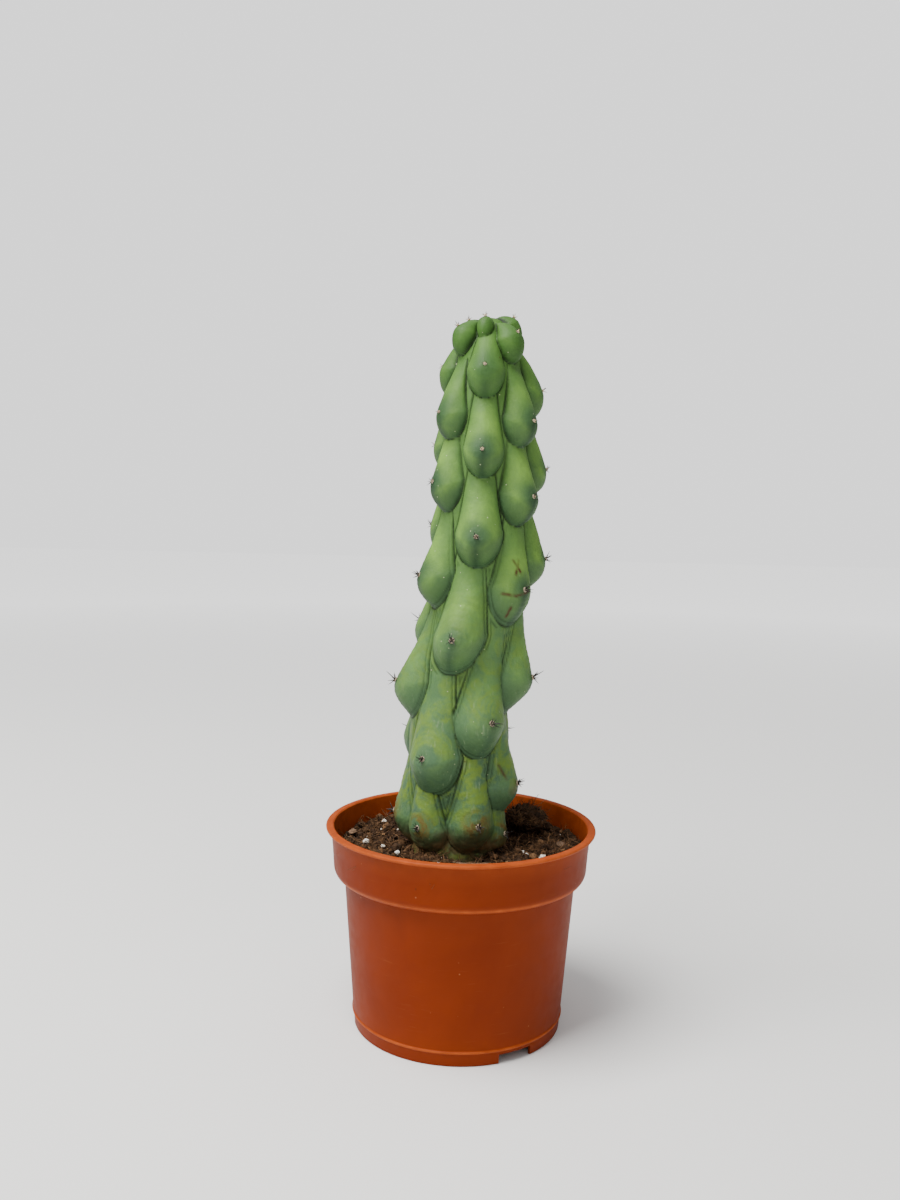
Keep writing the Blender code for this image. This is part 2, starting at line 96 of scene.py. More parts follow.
camera = bpy.data.objects.new("camera", bpy.data.cameras.new("camera"))
camera.data.lens = CAMERA_LENS
camera.data.clip_start = 0.01
aim = Matrix.Rotation(CAMERA_YAW, 4, "Z") @ Matrix.Rotation(CAMERA_PITCH, 4, "X")
camera.matrix_world = Matrix.Translation(CAMERA_PLACE) @ aim @ Matrix.Rotation(CAMERA_ROLL, 4, "Z")
bpy.context.scene.collection.objects.link(camera)
bpy.context.scene.camera = camera


def soft_light(name, place, width, power, colour):
    """A square area light of this width at this place, turned to face the middle of the plant."""
    lamp = bpy.data.lights.new(name, "AREA")
    lamp.size = width
    lamp.energy = power
    lamp.color = colour
    made = bpy.data.objects.new(name, lamp)
    made.location = place
    made.rotation_euler = (Vector((0, 0, 0.15)) - made.location).to_track_quat("-Z", "Y").to_euler()
    bpy.context.scene.collection.objects.link(made)


soft_light("overhead", (-0.42, -0.30, 1.15), 0.7, 30, (1.0, 0.985, 0.96))
soft_light("front_fill", (0.4, -1.3, 0.6), 1.0, 2.2, (0.97, 0.99, 1.0))
surround = bpy.data.worlds.new("surround")
surround.use_nodes = True
sky, backdrop = surround.node_tree, surround.node_tree.nodes["Background"]
seen = sky.nodes.new("ShaderNodeLightPath")
up_there = sky.nodes.new("ShaderNodeSeparateXYZ")
sky.links.new(sky.nodes.new("ShaderNodeTexCoord").outputs["Generated"], up_there.inputs[0])
glow, shown = sky.nodes.new("ShaderNodeMapRange"), sky.nodes.new("ShaderNodeMix")
glow.inputs["From Min"].default_value = -0.2
glow.inputs["To Min"].default_value = 0.06
glow.inputs["To Max"].default_value = 0.85
shown.inputs["B"].default_value = 1.5  # the surround looks white, and lights the plant mostly from above
sky.links.new(up_there.outputs["Z"], glow.inputs["Value"])
sky.links.new(glow.outputs[0], shown.inputs["A"])
sky.links.new(seen.outputs["Is Camera Ray"], shown.inputs["Factor"])
sky.links.new(shown.outputs[0], backdrop.inputs["Strength"])
backdrop.inputs["Color"].default_value = (1, 1, 1, 1)
bpy.context.scene.world = surround


def put(tree, kind, inputs=(), **settings):
    """A shader node with these settings. Each input is a value, or the socket that feeds it."""
    made = tree.nodes.new(kind)
    for name, value in settings.items():
        setattr(made, name, value)
    for name, value in dict(inputs).items():
        if isinstance(value, bpy.types.NodeSocket):
            tree.links.new(value, made.inputs[name])
        else:
            made.inputs[name].default_value = value
    return made


def ramp(tree, value, start, end, top=1.0, **settings):
    """0 where `value` is at `start`, `top` where it is at `end`, straight between and level beyond."""
    inputs = {"Value": value, "From Min": start, "From Max": end, "To Max": top}
    return put(tree, "ShaderNodeMapRange", inputs, **settings).outputs["Result"]


def object_place(tree):
    """The place of a point in the piece's own coordinates, in metres."""
    return put(tree, "ShaderNodeTexCoord").outputs["Object"]


def finish_of(name, roughness, **fixed):
    """A new material: its name, node tree and Principled shader, with what is even all over already set."""
    made = bpy.data.materials.new(name)
    made.use_nodes = True
    shader = made.node_tree.nodes["Principled BSDF"]
    shader.inputs["Roughness"].default_value = roughness
    for socket, value in fixed.items():
        shader.inputs[socket.replace("_", " ")].default_value = value
    return made, made.node_tree, shader


floor_mesh = bpy.data.meshes.new("floor")
floor_mesh.from_pydata([(-4, -4, 0), (4, -4, 0), (4, 4, 0), (-4, 4, 0)], [], [(0, 1, 2, 3)])
floor = bpy.data.objects.new("floor", floor_mesh)
floor_paint, floor_tree, floor_shader = finish_of("floor_paint", 0.9, Specular_IOR_Level=0.1)
floor_shader.inputs["Base Color"].default_value = (0.80, 0.80, 0.79, 1)
# The floor glows more and more from 0.2 m out to 2 m: painted light, so that its far part matches the white
# surround.
floor_shader.inputs["Emission Color"].default_value = (1, 1, 1, 1)
far_off = put(floor_tree, "ShaderNodeVectorMath", {0: object_place(floor_tree)}, operation="LENGTH")
far_painted_glow = ramp(floor_tree, far_off.outputs["Value"], 0.2, 2.0, top=1.05)
floor_tree.links.new(far_painted_glow, floor_shader.inputs["Emission Strength"])
floor_mesh.materials.append(floor_paint)
bpy.context.scene.collection.objects.link(floor)
floor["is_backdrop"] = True


# ---- Pot ----
# A thin nursery pot moulded in terracotta-coloured polypropylene: a cone with a deep rim band, a rolled
# lip, a raised line round its foot, three gaps in the foot ring and six drain holes in the floor.

pot_low, pot_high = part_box("pot")
RIM = (pot_high[0] - pot_low[0]) / 2
POT_TOP = pot_high[2]
WALL = 1.2 * MM
GAP = 0.3 * MM  # between pieces that touch
BAND_TOP = RIM - 2.3 * MM
BAND_FOOT = BAND_TOP - 1.3 * MM
BAND_BOTTOM = POT_TOP - 22 * MM
BAND_CURVE = 4.5 * MM
BAND_INWARD = 2.9 * MM
WALL_TOP = BAND_FOOT - BAND_INWARD - 1.9 * MM
FOOT = RIM - 13.7 * MM
FLOOR_LEVEL = 4.8 * MM
RIDGE = 6.2 * MM
POT_GRID = 288
PLASTIC = ((0.200, 0.0240, 0.0008, 1), (0.150, 0.0165, 0.0004, 1))
PLASTIC_EDGE = (0.50, 0.10, 0.018, 1)
DUST = (0.42, 0.17, 0.075, 1)


def full_turn(count):
    """This many angles evenly round a circle."""
    return np.linspace(0, math.tau, count, endpoint=False)


def arc(centre, radius, start, end, count):
    """Points of a circular arc in the (radius, height) plane, angles in degrees from level outwards."""
    turn = np.radians(np.linspace(start, end, count))
    return np.stack((centre[0] + radius * np.cos(turn), centre[1] + radius * np.sin(turn)), axis=-1)


def rounded(corners, radius):
    """A profile whose corners are each cut back by this radius (or less, between close corners) and
    bridged by four points of the quadratic curve with its control point on the corner."""
    corners = np.array(corners, float)
    points = [corners[:1]]
    for before, corner, after in zip(corners, corners[1:], corners[2:]):
        back = min(radius, np.linalg.norm(before - corner) / 2.5)
        ahead = min(radius, np.linalg.norm(after - corner) / 2.5)
        start = corner + (before - corner) / np.linalg.norm(before - corner) * back
        end = corner + (after - corner) / np.linalg.norm(after - corner) * ahead
        t = np.linspace(0, 1, 4)[:, None]
        points.append((1 - t) ** 2 * start + 2 * t * (1 - t) * corner + t ** 2 * end)
    return np.concatenate((*points, corners[-1:]))


def mesh_of(name, points, faces, **values):
    """A mesh from arrays of points and of faces, with a float attribute on its points for each value."""
    made = bpy.data.meshes.new(name)
    faces = faces if isinstance(faces, list) else faces.tolist()
    made.from_pydata(np.asarray(points).reshape(-1, 3), [], faces)
    for label, numbers in values.items():
        layer = made.attributes.new(label, "FLOAT", "POINT")
        layer.data.foreach_set("value", np.asarray(numbers, np.float32).ravel())
    made.shade_smooth()
    return made


def piece(name, mesh, material, *nodes, slot):
    """A finished piece on the plant's one body, standing for these CAD nodes."""
    made = bpy.data.objects.new(name, mesh)
    mesh.materials.clear()
    mesh.materials.append(material)
    bpy.context.scene.collection.objects.link(made)
    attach(made, "root")
    if nodes:
        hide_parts(*nodes)
    return made


def grid_faces(rows, columns, closed=False):
    """Quads over a grid of points whose columns run round and join up, and whose rows may too. They face
    outwards where the rows go down and the columns run counter-clockwise seen from above."""
    row, column = np.meshgrid(np.arange(rows - (not closed)), np.arange(columns), indexing="ij")
    below, after = (row + 1) % rows, (column + 1) % columns
    start, end = row * columns, below * columns
    return np.stack((start + column, end + column, end + after, start + after), axis=-1).reshape(-1, 4)


def turned(profile, count):
    """A profile of (radius, height) carried round +Z: point (i, j) is profile point i at angle j."""
    turn = full_turn(count)
    radius, height = profile[:, :1], profile[:, 1:]
    return np.stack((radius * np.sin(turn), -radius * np.cos(turn), height + 0 * turn), axis=-1)


def outer_wall(height):
    """The radius of the plain cone under the band."""
    return FOOT + (WALL_TOP - FOOT) * height / BAND_BOTTOM


def inner_wall(height):
    """The radius of the inside of the pot, at any height over its floor."""
    widening = np.clip((height - BAND_BOTTOM - WALL) / BAND_CURVE, 0, 1)
    band = WALL_TOP + 1.9 * MM + (BAND_FOOT - WALL_TOP - 1.9 * MM) * widening
    return np.where(height < BAND_BOTTOM + WALL, outer_wall(height), band) - WALL


LIP = 0.8 * MM
KNEE = BAND_BOTTOM + WALL
pot_inside = rounded([(6 * MM, FLOOR_LEVEL + WALL), (outer_wall(6 * MM) - WALL, FLOOR_LEVEL + WALL),
                      (outer_wall(KNEE) - WALL, KNEE), (float(inner_wall(KNEE + MM / 9)), KNEE),
                      (BAND_FOOT - WALL, KNEE + BAND_CURVE), (BAND_TOP - WALL, POT_TOP - MM / 2)], 0.8 * MM)
pot_lip = np.concatenate(([(BAND_TOP - WALL + 0.5 * MM, POT_TOP)],
                          arc((RIM - LIP, POT_TOP - LIP), LIP, 90, -90, 9)))
pot_band = np.concatenate(([(BAND_TOP + 0.1 * MM, POT_TOP - 2.1 * LIP), (BAND_TOP, POT_TOP - 2.7 * LIP)],
                           [(BAND_FOOT + 0.5 * MM, BAND_BOTTOM + 12 * MM)],
                           [(BAND_FOOT, BAND_BOTTOM + BAND_CURVE)],
                           [(BAND_FOOT - BAND_INWARD * (1 - math.cos(t)),
                             BAND_BOTTOM + BAND_CURVE * (1 - math.sin(t)))
                            for t in np.linspace(0.2, math.pi / 2, 9)]))
pot_wall = rounded([pot_band[-1], (WALL_TOP, BAND_BOTTOM + 0.1 * MM), (outer_wall(50 * MM), 50 * MM),
                    (outer_wall(20 * MM), 20 * MM), (outer_wall(RIDGE + 0.7 * MM), RIDGE + 0.7 * MM),
                    (outer_wall(RIDGE) + 0.5 * MM, RIDGE + 0.3 * MM),
                    (outer_wall(RIDGE) + 0.5 * MM, RIDGE - 0.3 * MM),
                    (outer_wall(RIDGE - 0.7 * MM), RIDGE - 0.7 * MM), (FOOT, 0.3 * MM), (FOOT - 0.4 * MM, 0),
                    (FOOT - WALL, 0), (FOOT - WALL, FLOOR_LEVEL), (6 * MM, FLOOR_LEVEL)], 0.3 * MM)
pot_profile = np.concatenate((pot_inside, pot_lip, pot_band, pot_wall[1:]))


def cut_away(made, shapes):
    """Cuts these closed meshes out of a piece for good, in one exact Boolean, and removes them."""
    tools = bpy.data.collections.new("tools")
    for mesh in shapes:
        tools.objects.link(bpy.data.objects.new(mesh.name, mesh))
    boolean = made.modifiers.new("cut", "BOOLEAN")
    boolean.operand_type = "COLLECTION"
    boolean.collection = tools
    left = bpy.data.meshes.new_from_object(made.evaluated_get(bpy.context.evaluated_depsgraph_get()))
    made.modifiers.clear()
    made.data = left
    for tool in list(tools.objects):
        bpy.data.objects.remove(tool)
    bpy.data.collections.remove(tools)
    left.shade_smooth()
    left.set_sharp_from_angle(angle=math.radians(38))


def prism(name, place, turn, width, depth, height, sides):
    """A closed prism standing on +Z round `place`: `sides` corners on an ellipse of this width and
    depth, turned round by `turn`."""
    corner = np.radians(180 / sides) + full_turn(sides)
    across = width / 2 * np.cos(corner) / math.cos(math.pi / sides)
    along = depth / 2 * np.sin(corner) / math.cos(math.pi / sides)
    ring = np.stack((place[0] + across * math.cos(turn) - along * math.sin(turn),
                     place[1] + across * math.sin(turn) + along * math.cos(turn), 0 * corner), axis=-1)
    points = np.concatenate((ring + (0, 0, place[2] - height / 2), ring + (0, 0, place[2] + height / 2)))
    made = bpy.data.meshes.new(name)
    sides_of = [(i, (i + 1) % sides, sides + (i + 1) % sides, sides + i) for i in range(sides)]
    lids = [tuple(range(sides))[::-1], tuple(range(sides, 2 * sides))]
    made.from_pydata(points.tolist(), [], sides_of + lids)
    return made


def maths(tree, operation, *values, clamp=False):
    """One step of arithmetic on these values or sockets; `clamp` keeps the result from 0 to 1."""
    inputs = dict(enumerate(values))
    return put(tree, "ShaderNodeMath", inputs, operation=operation, use_clamp=clamp).outputs[0]


def product(tree, first, *others, clamp=False):
    """These values or sockets multiplied together; `clamp` keeps the result from 0 to 1."""
    for left, value in enumerate(others, 1 - len(others)):
        first = maths(tree, "MULTIPLY", first, value, clamp=clamp and left == 0)
    return first


def noise(tree, place, scale, detail, roughness=0.5, distortion=0.0):
    """Fractal noise from about 0 to 1 at this place, `scale` to a metre."""
    inputs = {"Vector": place, "Scale": scale, "Detail": detail, "Roughness": roughness,
              "Distortion": distortion}
    return put(tree, "ShaderNodeTexNoise", inputs).outputs["Fac"]


def group_of(name, inputs, outputs):
    """An empty shader node group with these float inputs, as (name, start value), and float outputs."""
    made = bpy.data.node_groups.new(name, "ShaderNodeTree")
    for label, start in inputs:
        socket = made.interface.new_socket(label, in_out="INPUT", socket_type="NodeSocketFloat")
        socket.default_value = start
    for label in outputs:
        made.interface.new_socket(label, in_out="OUTPUT", socket_type="NodeSocketFloat")
    return made, made.nodes.new("NodeGroupInput").outputs, made.nodes.new("NodeGroupOutput").inputs


def mottling_group():
    """Soft patches from 0 to 1 over Object space, with a finer unevenness in them, for any material."""
    settings = ("Size", 0.01), ("Contrast", 1.0), ("Warp", 0.5)
    tree, given, wanted = group_of("mottling", settings, ("Patches", "Fine"))
    place = object_place(tree)
    scale = maths(tree, "DIVIDE", 1.0, given["Size"])
    centred = maths(tree, "SUBTRACT", noise(tree, place, scale, 4.0, 0.6, given["Warp"]), 0.5)
    patches = maths(tree, "MULTIPLY_ADD", centred, given["Contrast"], 0.5, clamp=True)
    tree.links.new(patches, wanted["Patches"])
    tree.links.new(noise(tree, place, maths(tree, "MULTIPLY", scale, 6.0), 3.0), wanted["Fine"])
    return tree


def specks_group():
    """Small separate spots over Object space, 1 inside a spot: one to a cell of `Size`, in a share of
    the cells."""
    settings = ("Size", 0.004), ("Radius", 0.12), ("Share", 0.3)
    tree, given, wanted = group_of("specks", settings, ("Spots",))
    scale = maths(tree, "DIVIDE", 1.0, given["Size"])
    cells = put(tree, "ShaderNodeTexVoronoi", {"Vector": object_place(tree), "Scale": scale})
    core_of = maths(tree, "MULTIPLY", given["Radius"], 0.6)
    spot = ramp(tree, cells.outputs["Distance"], given["Radius"], core_of)
    draw = put(tree, "ShaderNodeSeparateColor", {"Color": cells.outputs["Color"]}).outputs[0]
    chosen = maths(tree, "LESS_THAN", draw, given["Share"])
    tree.links.new(maths(tree, "MULTIPLY", spot, chosen), wanted["Spots"])
    return tree


MOTTLING = mottling_group()
SPECKS = specks_group()


def effect(tree, group, **inputs):
    """The outputs of a node group placed in a material with its own values."""
    return put(tree, "ShaderNodeGroup", inputs, node_tree=group).outputs


def mixed(tree, share, first, second):
    """A colour between two, each a colour or a socket, at this share of the second."""
    return put(tree, "ShaderNodeMix", {0: share, 6: first, 7: second}, data_type="RGBA").outputs[2]


def value_of(tree, name):
    """A float attribute of the piece's mesh."""
    return put(tree, "ShaderNodeAttribute", attribute_name=name).outputs["Fac"]


def streaks(tree, stretch, scale, detail, roughness=0.5):
    """Noise whose scale along the height is times `stretch`: it runs up and down under 1, round over 1."""
    drawn = put(tree, "ShaderNodeMapping", {"Vector": object_place(tree), "Scale": (1, 1, stretch)})
    return noise(tree, drawn.outputs["Vector"], scale, detail, roughness)


def relief(tree, shader, height, depth):
    """Bump of this depth, in metres, from a height of 0 to 1."""
    bump = put(tree, "ShaderNodeBump", {"Height": height, "Distance": depth, "Strength": 1.0})
    tree.links.new(bump.outputs["Normal"], shader.inputs["Normal"])


def pot_plastic():
    """Satin moulded plastic: slightly uneven colour, pale where edges have rubbed, a little dust, and
    scuffs that run round the pot."""
    made, tree, shader = finish_of("pot_plastic", 0.5, Specular_IOR_Level=0.09)
    mottle = effect(tree, MOTTLING, Size=0.03, Contrast=1.6)
    base = mixed(tree, mottle["Patches"], *PLASTIC)
    uneven = maths(tree, "MULTIPLY_ADD", mottle["Fine"], 0.9, 0.1)
    base = mixed(tree, product(tree, value_of(tree, "wear"), uneven), base, PLASTIC_EDGE)
    dust = effect(tree, SPECKS, Size=0.006, Radius=0.07, Share=0.35)["Spots"]
    base = mixed(tree, product(tree, dust, 0.5), base, DUST)
    scuffed = ramp(tree, streaks(tree, 14, 60.0, 6.0, 0.7), 0.62, 0.78)
    base = mixed(tree, product(tree, scuffed, 0.16), base, DUST)
    tree.links.new(base, shader.inputs["Base Color"])
    rough = maths(tree, "MULTIPLY_ADD", mottle["Fine"], 0.2, 0.42)
    rough = maths(tree, "ADD", rough, product(tree, scuffed, 0.2), clamp=True)
    tree.links.new(rough, shader.inputs["Roughness"])
    relief(tree, shader, mottle["Fine"], 0.06 * MM)
    return made


pot_points = turned(pot_profile, POT_GRID)
radius, height = pot_profile[:, :1], pot_profile[:, 1:]
rub = sum(np.exp(-((height - level) / reach) ** 2) for level, reach in
          ((POT_TOP - LIP, 1.2 * MM), (BAND_BOTTOM + BAND_CURVE / 3, 0.8 * MM), (RIDGE, 0.6 * MM)))
rub = rub * (radius > outer_wall(np.minimum(height, BAND_BOTTOM)) - 0.1 * MM)
pot_mesh = mesh_of("pot_shell", pot_points, grid_faces(len(pot_profile), POT_GRID, closed=True),
                   wear=np.broadcast_to(np.clip(rub, 0, 1), pot_points.shape[:2]))
pot = piece("pot_shell", pot_mesh, pot_plastic(), "pot", slot="pot_plastic")
FIRST_GAP = math.radians(33)
DRAIN_RING = 30 * MM
gap_turns = [FIRST_GAP + k * math.tau / 3 for k in range(3)]
drain_turns = [FIRST_GAP + (k + 0.5) * math.tau / 6 for k in range(6)]
foot_gaps = [prism(f"foot_gap_{k}", (FOOT * math.sin(turn), -FOOT * math.cos(turn), 0), turn,
                   16 * MM, 7 * MM, 8.4 * MM, 4) for k, turn in enumerate(gap_turns)]
drains = [prism(f"drain_{k}", (DRAIN_RING * math.sin(turn), -DRAIN_RING * math.cos(turn), FLOOR_LEVEL), 0,
                8 * MM, 8 * MM, 4 * MM, 36) for k, turn in enumerate(drain_turns)]
cut_away(pot, foot_gaps + drains)


# ---- Stem ----
# One column of water-filled flesh under a waxy skin. Long teardrop tubercles stand on it in seven
# columns, each resting on the next one down, and where two meet the skin folds into a fine crease,
# darkened with painted shade.

STEM_TOP = POT_TOP + 222 * MM
SOIL = POT_TOP - 9 * MM
SOIL_AT_STEM = SOIL - 1.5 * MM
DOME = 40 * MM
CORE_AT_FOOT, CORE_LOW, CORE_HIGH = 19 * MM, 21.2 * MM, 16.8 * MM
SWELL_END = SOIL + 36 * MM
TWIST = math.radians(-26)
COLUMNS = ((-5, 0.0), (49, 0.61), (96, 0.28), (146, 0.92), (198, 0.42), (250, 0.93), (296, 0.47))
ROWS = (-1, -0.45, 0, 1, 2, 3, 4, 5)
AREOLE_HEIGHT = (219, 209.5, 200, 168, 132, 89, 36, -12)
RISE = (4.4, 6.4, 7.6, 8.6, 9.0, 10.4, 8.6, 6.0)
HALF_WIDTH = (4.8, 8.4, 10.8, 11.6, 14.0, 16.4, 17.0, 13)
REACH_UP = (5, 8, 19, 26, 30, 36, 36, 20)
REACH_DOWN = (8, 9.5, 12.5, 13.5, 15.5, 18, 18, 12)
HOLLOW = (1.0, 0.75, 1.2, 1.5, 1.8, 2.3, 2.4, 1.2)
SOFTNESS = (0.7, 0.7, 0.85, 0.9, 1.15, 1.4, 1.5, 1.0)
NARROWING, TAPER = 0.5, 0.8
SAG, SAG_LOW = 0.4, 0.12
# Some grew out of their place: (column, row) to degrees round, millimetres up and share of the rise.
OUT_OF_PLACE = {(0, -1): (-8, 0, 1), (1, -1): (-7, 4, 1.1), (6, -1): (0, 4, 1.1), (2, -1): (0, 5, 1),
                (6, 0): (4, -2, 0.85), (2, 0): (0, 2, 1), (5, 0): (0, 0, 0.75), (1, 1): (0, 3, 1),
                (2, 1): (0, 3, 1), (6, 1): (0, 3, 0.85), (5, 1): (0, 0, 0.7), (1, 2): (6, 3, 0.62),
                (2, 2): (0, 2, 0.92), (3, 2): (0, 0, 0.7), (6, 2): (0, 3, 1), (5, 2): (0, 0, 0.85),
                (1, 3): (0, -4, 1), (2, 3): (0, -4, 1), (3, 3): (0, 0, 0.4), (6, 3): (0, 3, 1),
                (6, 4): (0, -7, 1)}
OLDEST = ((-38, 4), (62, 0))  # two more at the foot: degrees round, millimetres over the rim
STEM_AROUND, STEM_ALONG = 284, 344
FAR = 30 * MM  # stands for out of reach


def unit(ways):
    """These directions, each cut or drawn out to a length of 1."""
    return ways / np.linalg.norm(ways, axis=-1, keepdims=True)


def eased(low, high, value):
    """0 below `low`, 1 above `high`, and a smooth cubic step between."""
    share = np.clip((value - low) / (high - low), 0, 1)
    return share * share * (3 - 2 * share)


def unevenness(points, cell, seed):
    """Smooth random values from -1 to 1 over space: random numbers on a lattice with this cell, blended
    from the eight corners round each point with a cubic step along each axis."""
    lattice = np.random.default_rng(seed).uniform(-1, 1, (32, 32, 32))
    place = points / cell
    whole = np.floor(place).astype(int)
    part = place - whole
    part = part * part * (3 - 2 * part)
    total = 0
    for corner in np.ndindex(2, 2, 2):
        weight = np.where(corner, part, 1 - part).prod(axis=-1)
        at = (whole + corner) % 32
        total = total + weight * lattice[at[..., 0], at[..., 1], at[..., 2]]
    return total


def stem_middle(height):
    """How far the stem's middle stands to +X: it leans over in one soft step a third of the way up."""
    return 2.2 * MM + 5.2 * MM * np.tanh((height - POT_TOP - 0.37 * (STEM_TOP - POT_TOP)) / (28 * MM))


def core(height):
    """The stem's radius under its tubercles: a waist at the soil, a slow taper, and a flattened dome."""
    body = CORE_LOW + (CORE_HIGH - CORE_LOW) * eased(SWELL_END, STEM_TOP, height)
    body = CORE_AT_FOOT + (body - CORE_AT_FOOT) * eased(SOIL_AT_STEM, SWELL_END, height)
    down = np.clip((STEM_TOP - height) / DOME, 0, 1)
    return body * (1 - (1 - down) ** 1.5) ** 0.4


core_levels = np.linspace(stem_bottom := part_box("cactus_stem")[0][2], STEM_TOP, 1200)
core_steps = np.hypot(np.diff(core(core_levels)), np.diff(core_levels))
core_lengths = np.concatenate(([0], np.cumsum(core_steps)))


def along_core(height):
    """The distance along the core's outline from its foot up to this height."""
    return np.interp(height, core_levels, core_lengths)


def by_row(values, row):
    """A row-by-row value in millimetres, in metres and between whole rows too."""
    return float(np.interp(row, ROWS, values)) * MM


def twist(height):
    """How far the columns have wound round the stem at this height, in radians."""
    return TWIST * (1 - eased(0.05, 0.73, (height - POT_TOP) / (STEM_TOP - POT_TOP)))


def tubercle_places():
    """(angle, height of the areole, row, rise) of each tubercle, column by column from the crown down."""
    found = []
    for column, (turn, start) in enumerate(COLUMNS):
        for whole in range(ROWS[0] - 1, ROWS[-1] + 1):
            row = whole + start
            if -1.1 < row < 4.7:
                aside, up, share = OUT_OF_PLACE.get((column, whole), (0, 0, 1))
                height = min(POT_TOP + by_row(AREOLE_HEIGHT, row) + up * MM, STEM_TOP - MM)
                angle = math.radians(turn + aside) + twist(height)
                found.append((angle, height, row, share * by_row(RISE, row)))
    return found + [(math.radians(turn), POT_TOP + up * MM, 5, by_row(RISE, 5)) for turn, up in OLDEST]


def tubercle_swelling(angle, height, tubercle):
    """How far one tubercle lifts the skin, how far each point is inside its outline, and how far round and
    up from its areole. Above the areole it is a tongue, (1 - up^1.3)^hollow along and
    (1 - across^2)^softness over; below it a belly, (1 - across^2 - down^2)^softness."""
    turn, areole, row, rise = tubercle
    up = along_core(height) - along_core(areole)
    above = up + 1.5 * MM
    reach = np.where(above > 0, by_row(REACH_UP, row), by_row(REACH_DOWN, row))
    along = np.clip(np.abs(above) / reach, 0, 1)
    round_way = 2 * np.sin((angle - turn) / 2) * (core(height) + 0.6 * rise)
    across = round_way / by_row(HALF_WIDTH, row)
    hollow, soft = by_row(HOLLOW, row) / MM, by_row(SOFTNESS, row) / MM
    narrow = 1 - NARROWING * along ** TAPER
    tongue = (1 - along ** 1.3) ** hollow * np.clip(1 - (across / narrow) ** 2, 0, 1) ** soft
    belly = np.clip(1 - across ** 2 - along ** 2, 0, 1) ** soft
    inside = np.where(above > 0, narrow - np.abs(across), 1 - np.hypot(across, along))
    inside = inside * by_row(HALF_WIDTH, row)
    inside = np.where((along >= 1) | (np.cos(angle - turn) < 0), -FAR, inside)
    return rise * np.where(above > 0, tongue, belly), inside, round_way + 0 * up, up + 0 * round_way


def stem_skin(angle, height):
    """The skin at these angles and heights: the core, lifted along its own normal by whichever tubercle
    stands highest there, joined to the next highest (more softly low on the stem), and sagging a share
    of that lift. With it come that lift as a share of the tubercle's rise, how much higher it stands
    than the next highest, the distance to the nearest outline of a tubercle that isn't covered there,
    and how far round and up from its areole each point is."""
    swellings = [tubercle_swelling(angle, height, tubercle) for tubercle in TUBERCLES]
    lifts, insides, rounds, ups = (np.stack(values) for values in zip(*swellings))
    winner = lifts.argmax(0)[None]
    best, aside, up = (np.take_along_axis(values, winner, 0)[0] for values in (lifts, rounds, ups))
    second = np.sort(lifts, 0)[-2]
    bare = best <= 0
    blend = 0.1 * MM + 1.3 * MM * eased(POT_TOP + 110 * MM, POT_TOP + 30 * MM, height)
    joined = blend * np.log(1 + np.exp((second - best) / blend)) * best / (best + MM)
    aside, up = np.where(bare, FAR, aside), np.where(bare, FAR, up)
    tallest = np.where(bare, 8 * MM, np.array([rise for *_, rise in TUBERCLES])[winner[0]])
    seen = lifts > best - 0.25 * MM
    to_outline = np.where(seen, np.abs(insides), FAR).min(0)
    clear = eased(SOIL_AT_STEM - 2 * MM, SOIL_AT_STEM + 5 * MM, height)
    lift = (best + joined) * clear
    step = 0.2 * MM
    slope = (core(height - step) - core(height + step)) / (2 * step)
    outward, upward = 1 / np.hypot(1, slope), slope / np.hypot(1, slope)
    sag = SAG_LOW + (SAG - SAG_LOW) * eased(POT_TOP, (POT_TOP + STEM_TOP) / 2, height)
    sag = sag * (1 - eased(STEM_TOP - DOME, STEM_TOP, height))
    level = height + lift * (upward - sag)
    radius = core(height) + lift * outward
    across, along = stem_middle(height) + radius * np.sin(angle), -radius * np.cos(angle)
    points = np.stack((across, along, level + 0 * angle), -1)
    return points, lift / tallest, best - second, to_outline, aside, up


TUBERCLES = tubercle_places()
stem_angles = full_turn(STEM_AROUND)
lengths = np.linspace(core_lengths[-1], along_core(SOIL_AT_STEM - 3 * MM), STEM_ALONG)[1:]
stem_heights = np.concatenate((np.interp(lengths, core_lengths, core_levels), [stem_bottom]))
stem_points, fullness, gap_down, to_outline, aside, up = stem_skin(stem_angles[None, :],
                                                                   stem_heights[:, None])

spacing_round = math.tau / STEM_AROUND * (core(stem_heights)[:, None] + fullness * 8 * MM)
spacing_down = np.abs(lengths[1] - lengths[0])
gap_round = (np.roll(gap_down, -1, 1) - np.roll(gap_down, 1, 1)) / (2 * spacing_round)
gap_along = np.gradient(gap_down, axis=0) / spacing_down
to_fold = gap_down / np.maximum(np.hypot(gap_round, gap_along), 0.12)
to_fold = np.where(fullness > 0.02, to_fold, FAR)
ageing = eased(POT_TOP + 150 * MM, POT_TOP + 95 * MM, stem_heights)[:, None]
wander = 0.35 * MM * unevenness(stem_points, 6 * MM, 14)
# The crease mask is 1 along each fold between tubercles. It sinks the skin a little below, and the skin
# material paints the folds dark with it as painted shade. Lower down a fainter second line runs 1.9 mm inside
# each outline.
crease = np.exp(-(np.minimum(to_fold, to_outline + wander) / (0.42 * MM)) ** 2)
second_crease = np.exp(-((to_outline - 1.9 * MM + wander) / (0.35 * MM)) ** 2)
crease = np.maximum(crease, 0.6 * ageing * second_crease)
broken = np.clip(1 + 0.5 * unevenness(stem_points, 12 * MM, 15), 0, 1)
crease = crease * (stem_heights[:, None] > SOIL) * broken
from_areole = np.hypot(aside, up)
foot_edge = stem_points[..., 2] + 3 * MM * unevenness(stem_points, 7 * MM, 3)
foot = 1 - eased(SOIL + 1 * MM, SOIL + 13 * MM, foot_edge)
stem_line = np.stack((stem_middle(stem_heights), 0 * stem_heights, stem_heights), -1)
level_way = (stem_points - stem_line[:, None, :]) * (1, 1, 0)
level_way = unit(level_way)
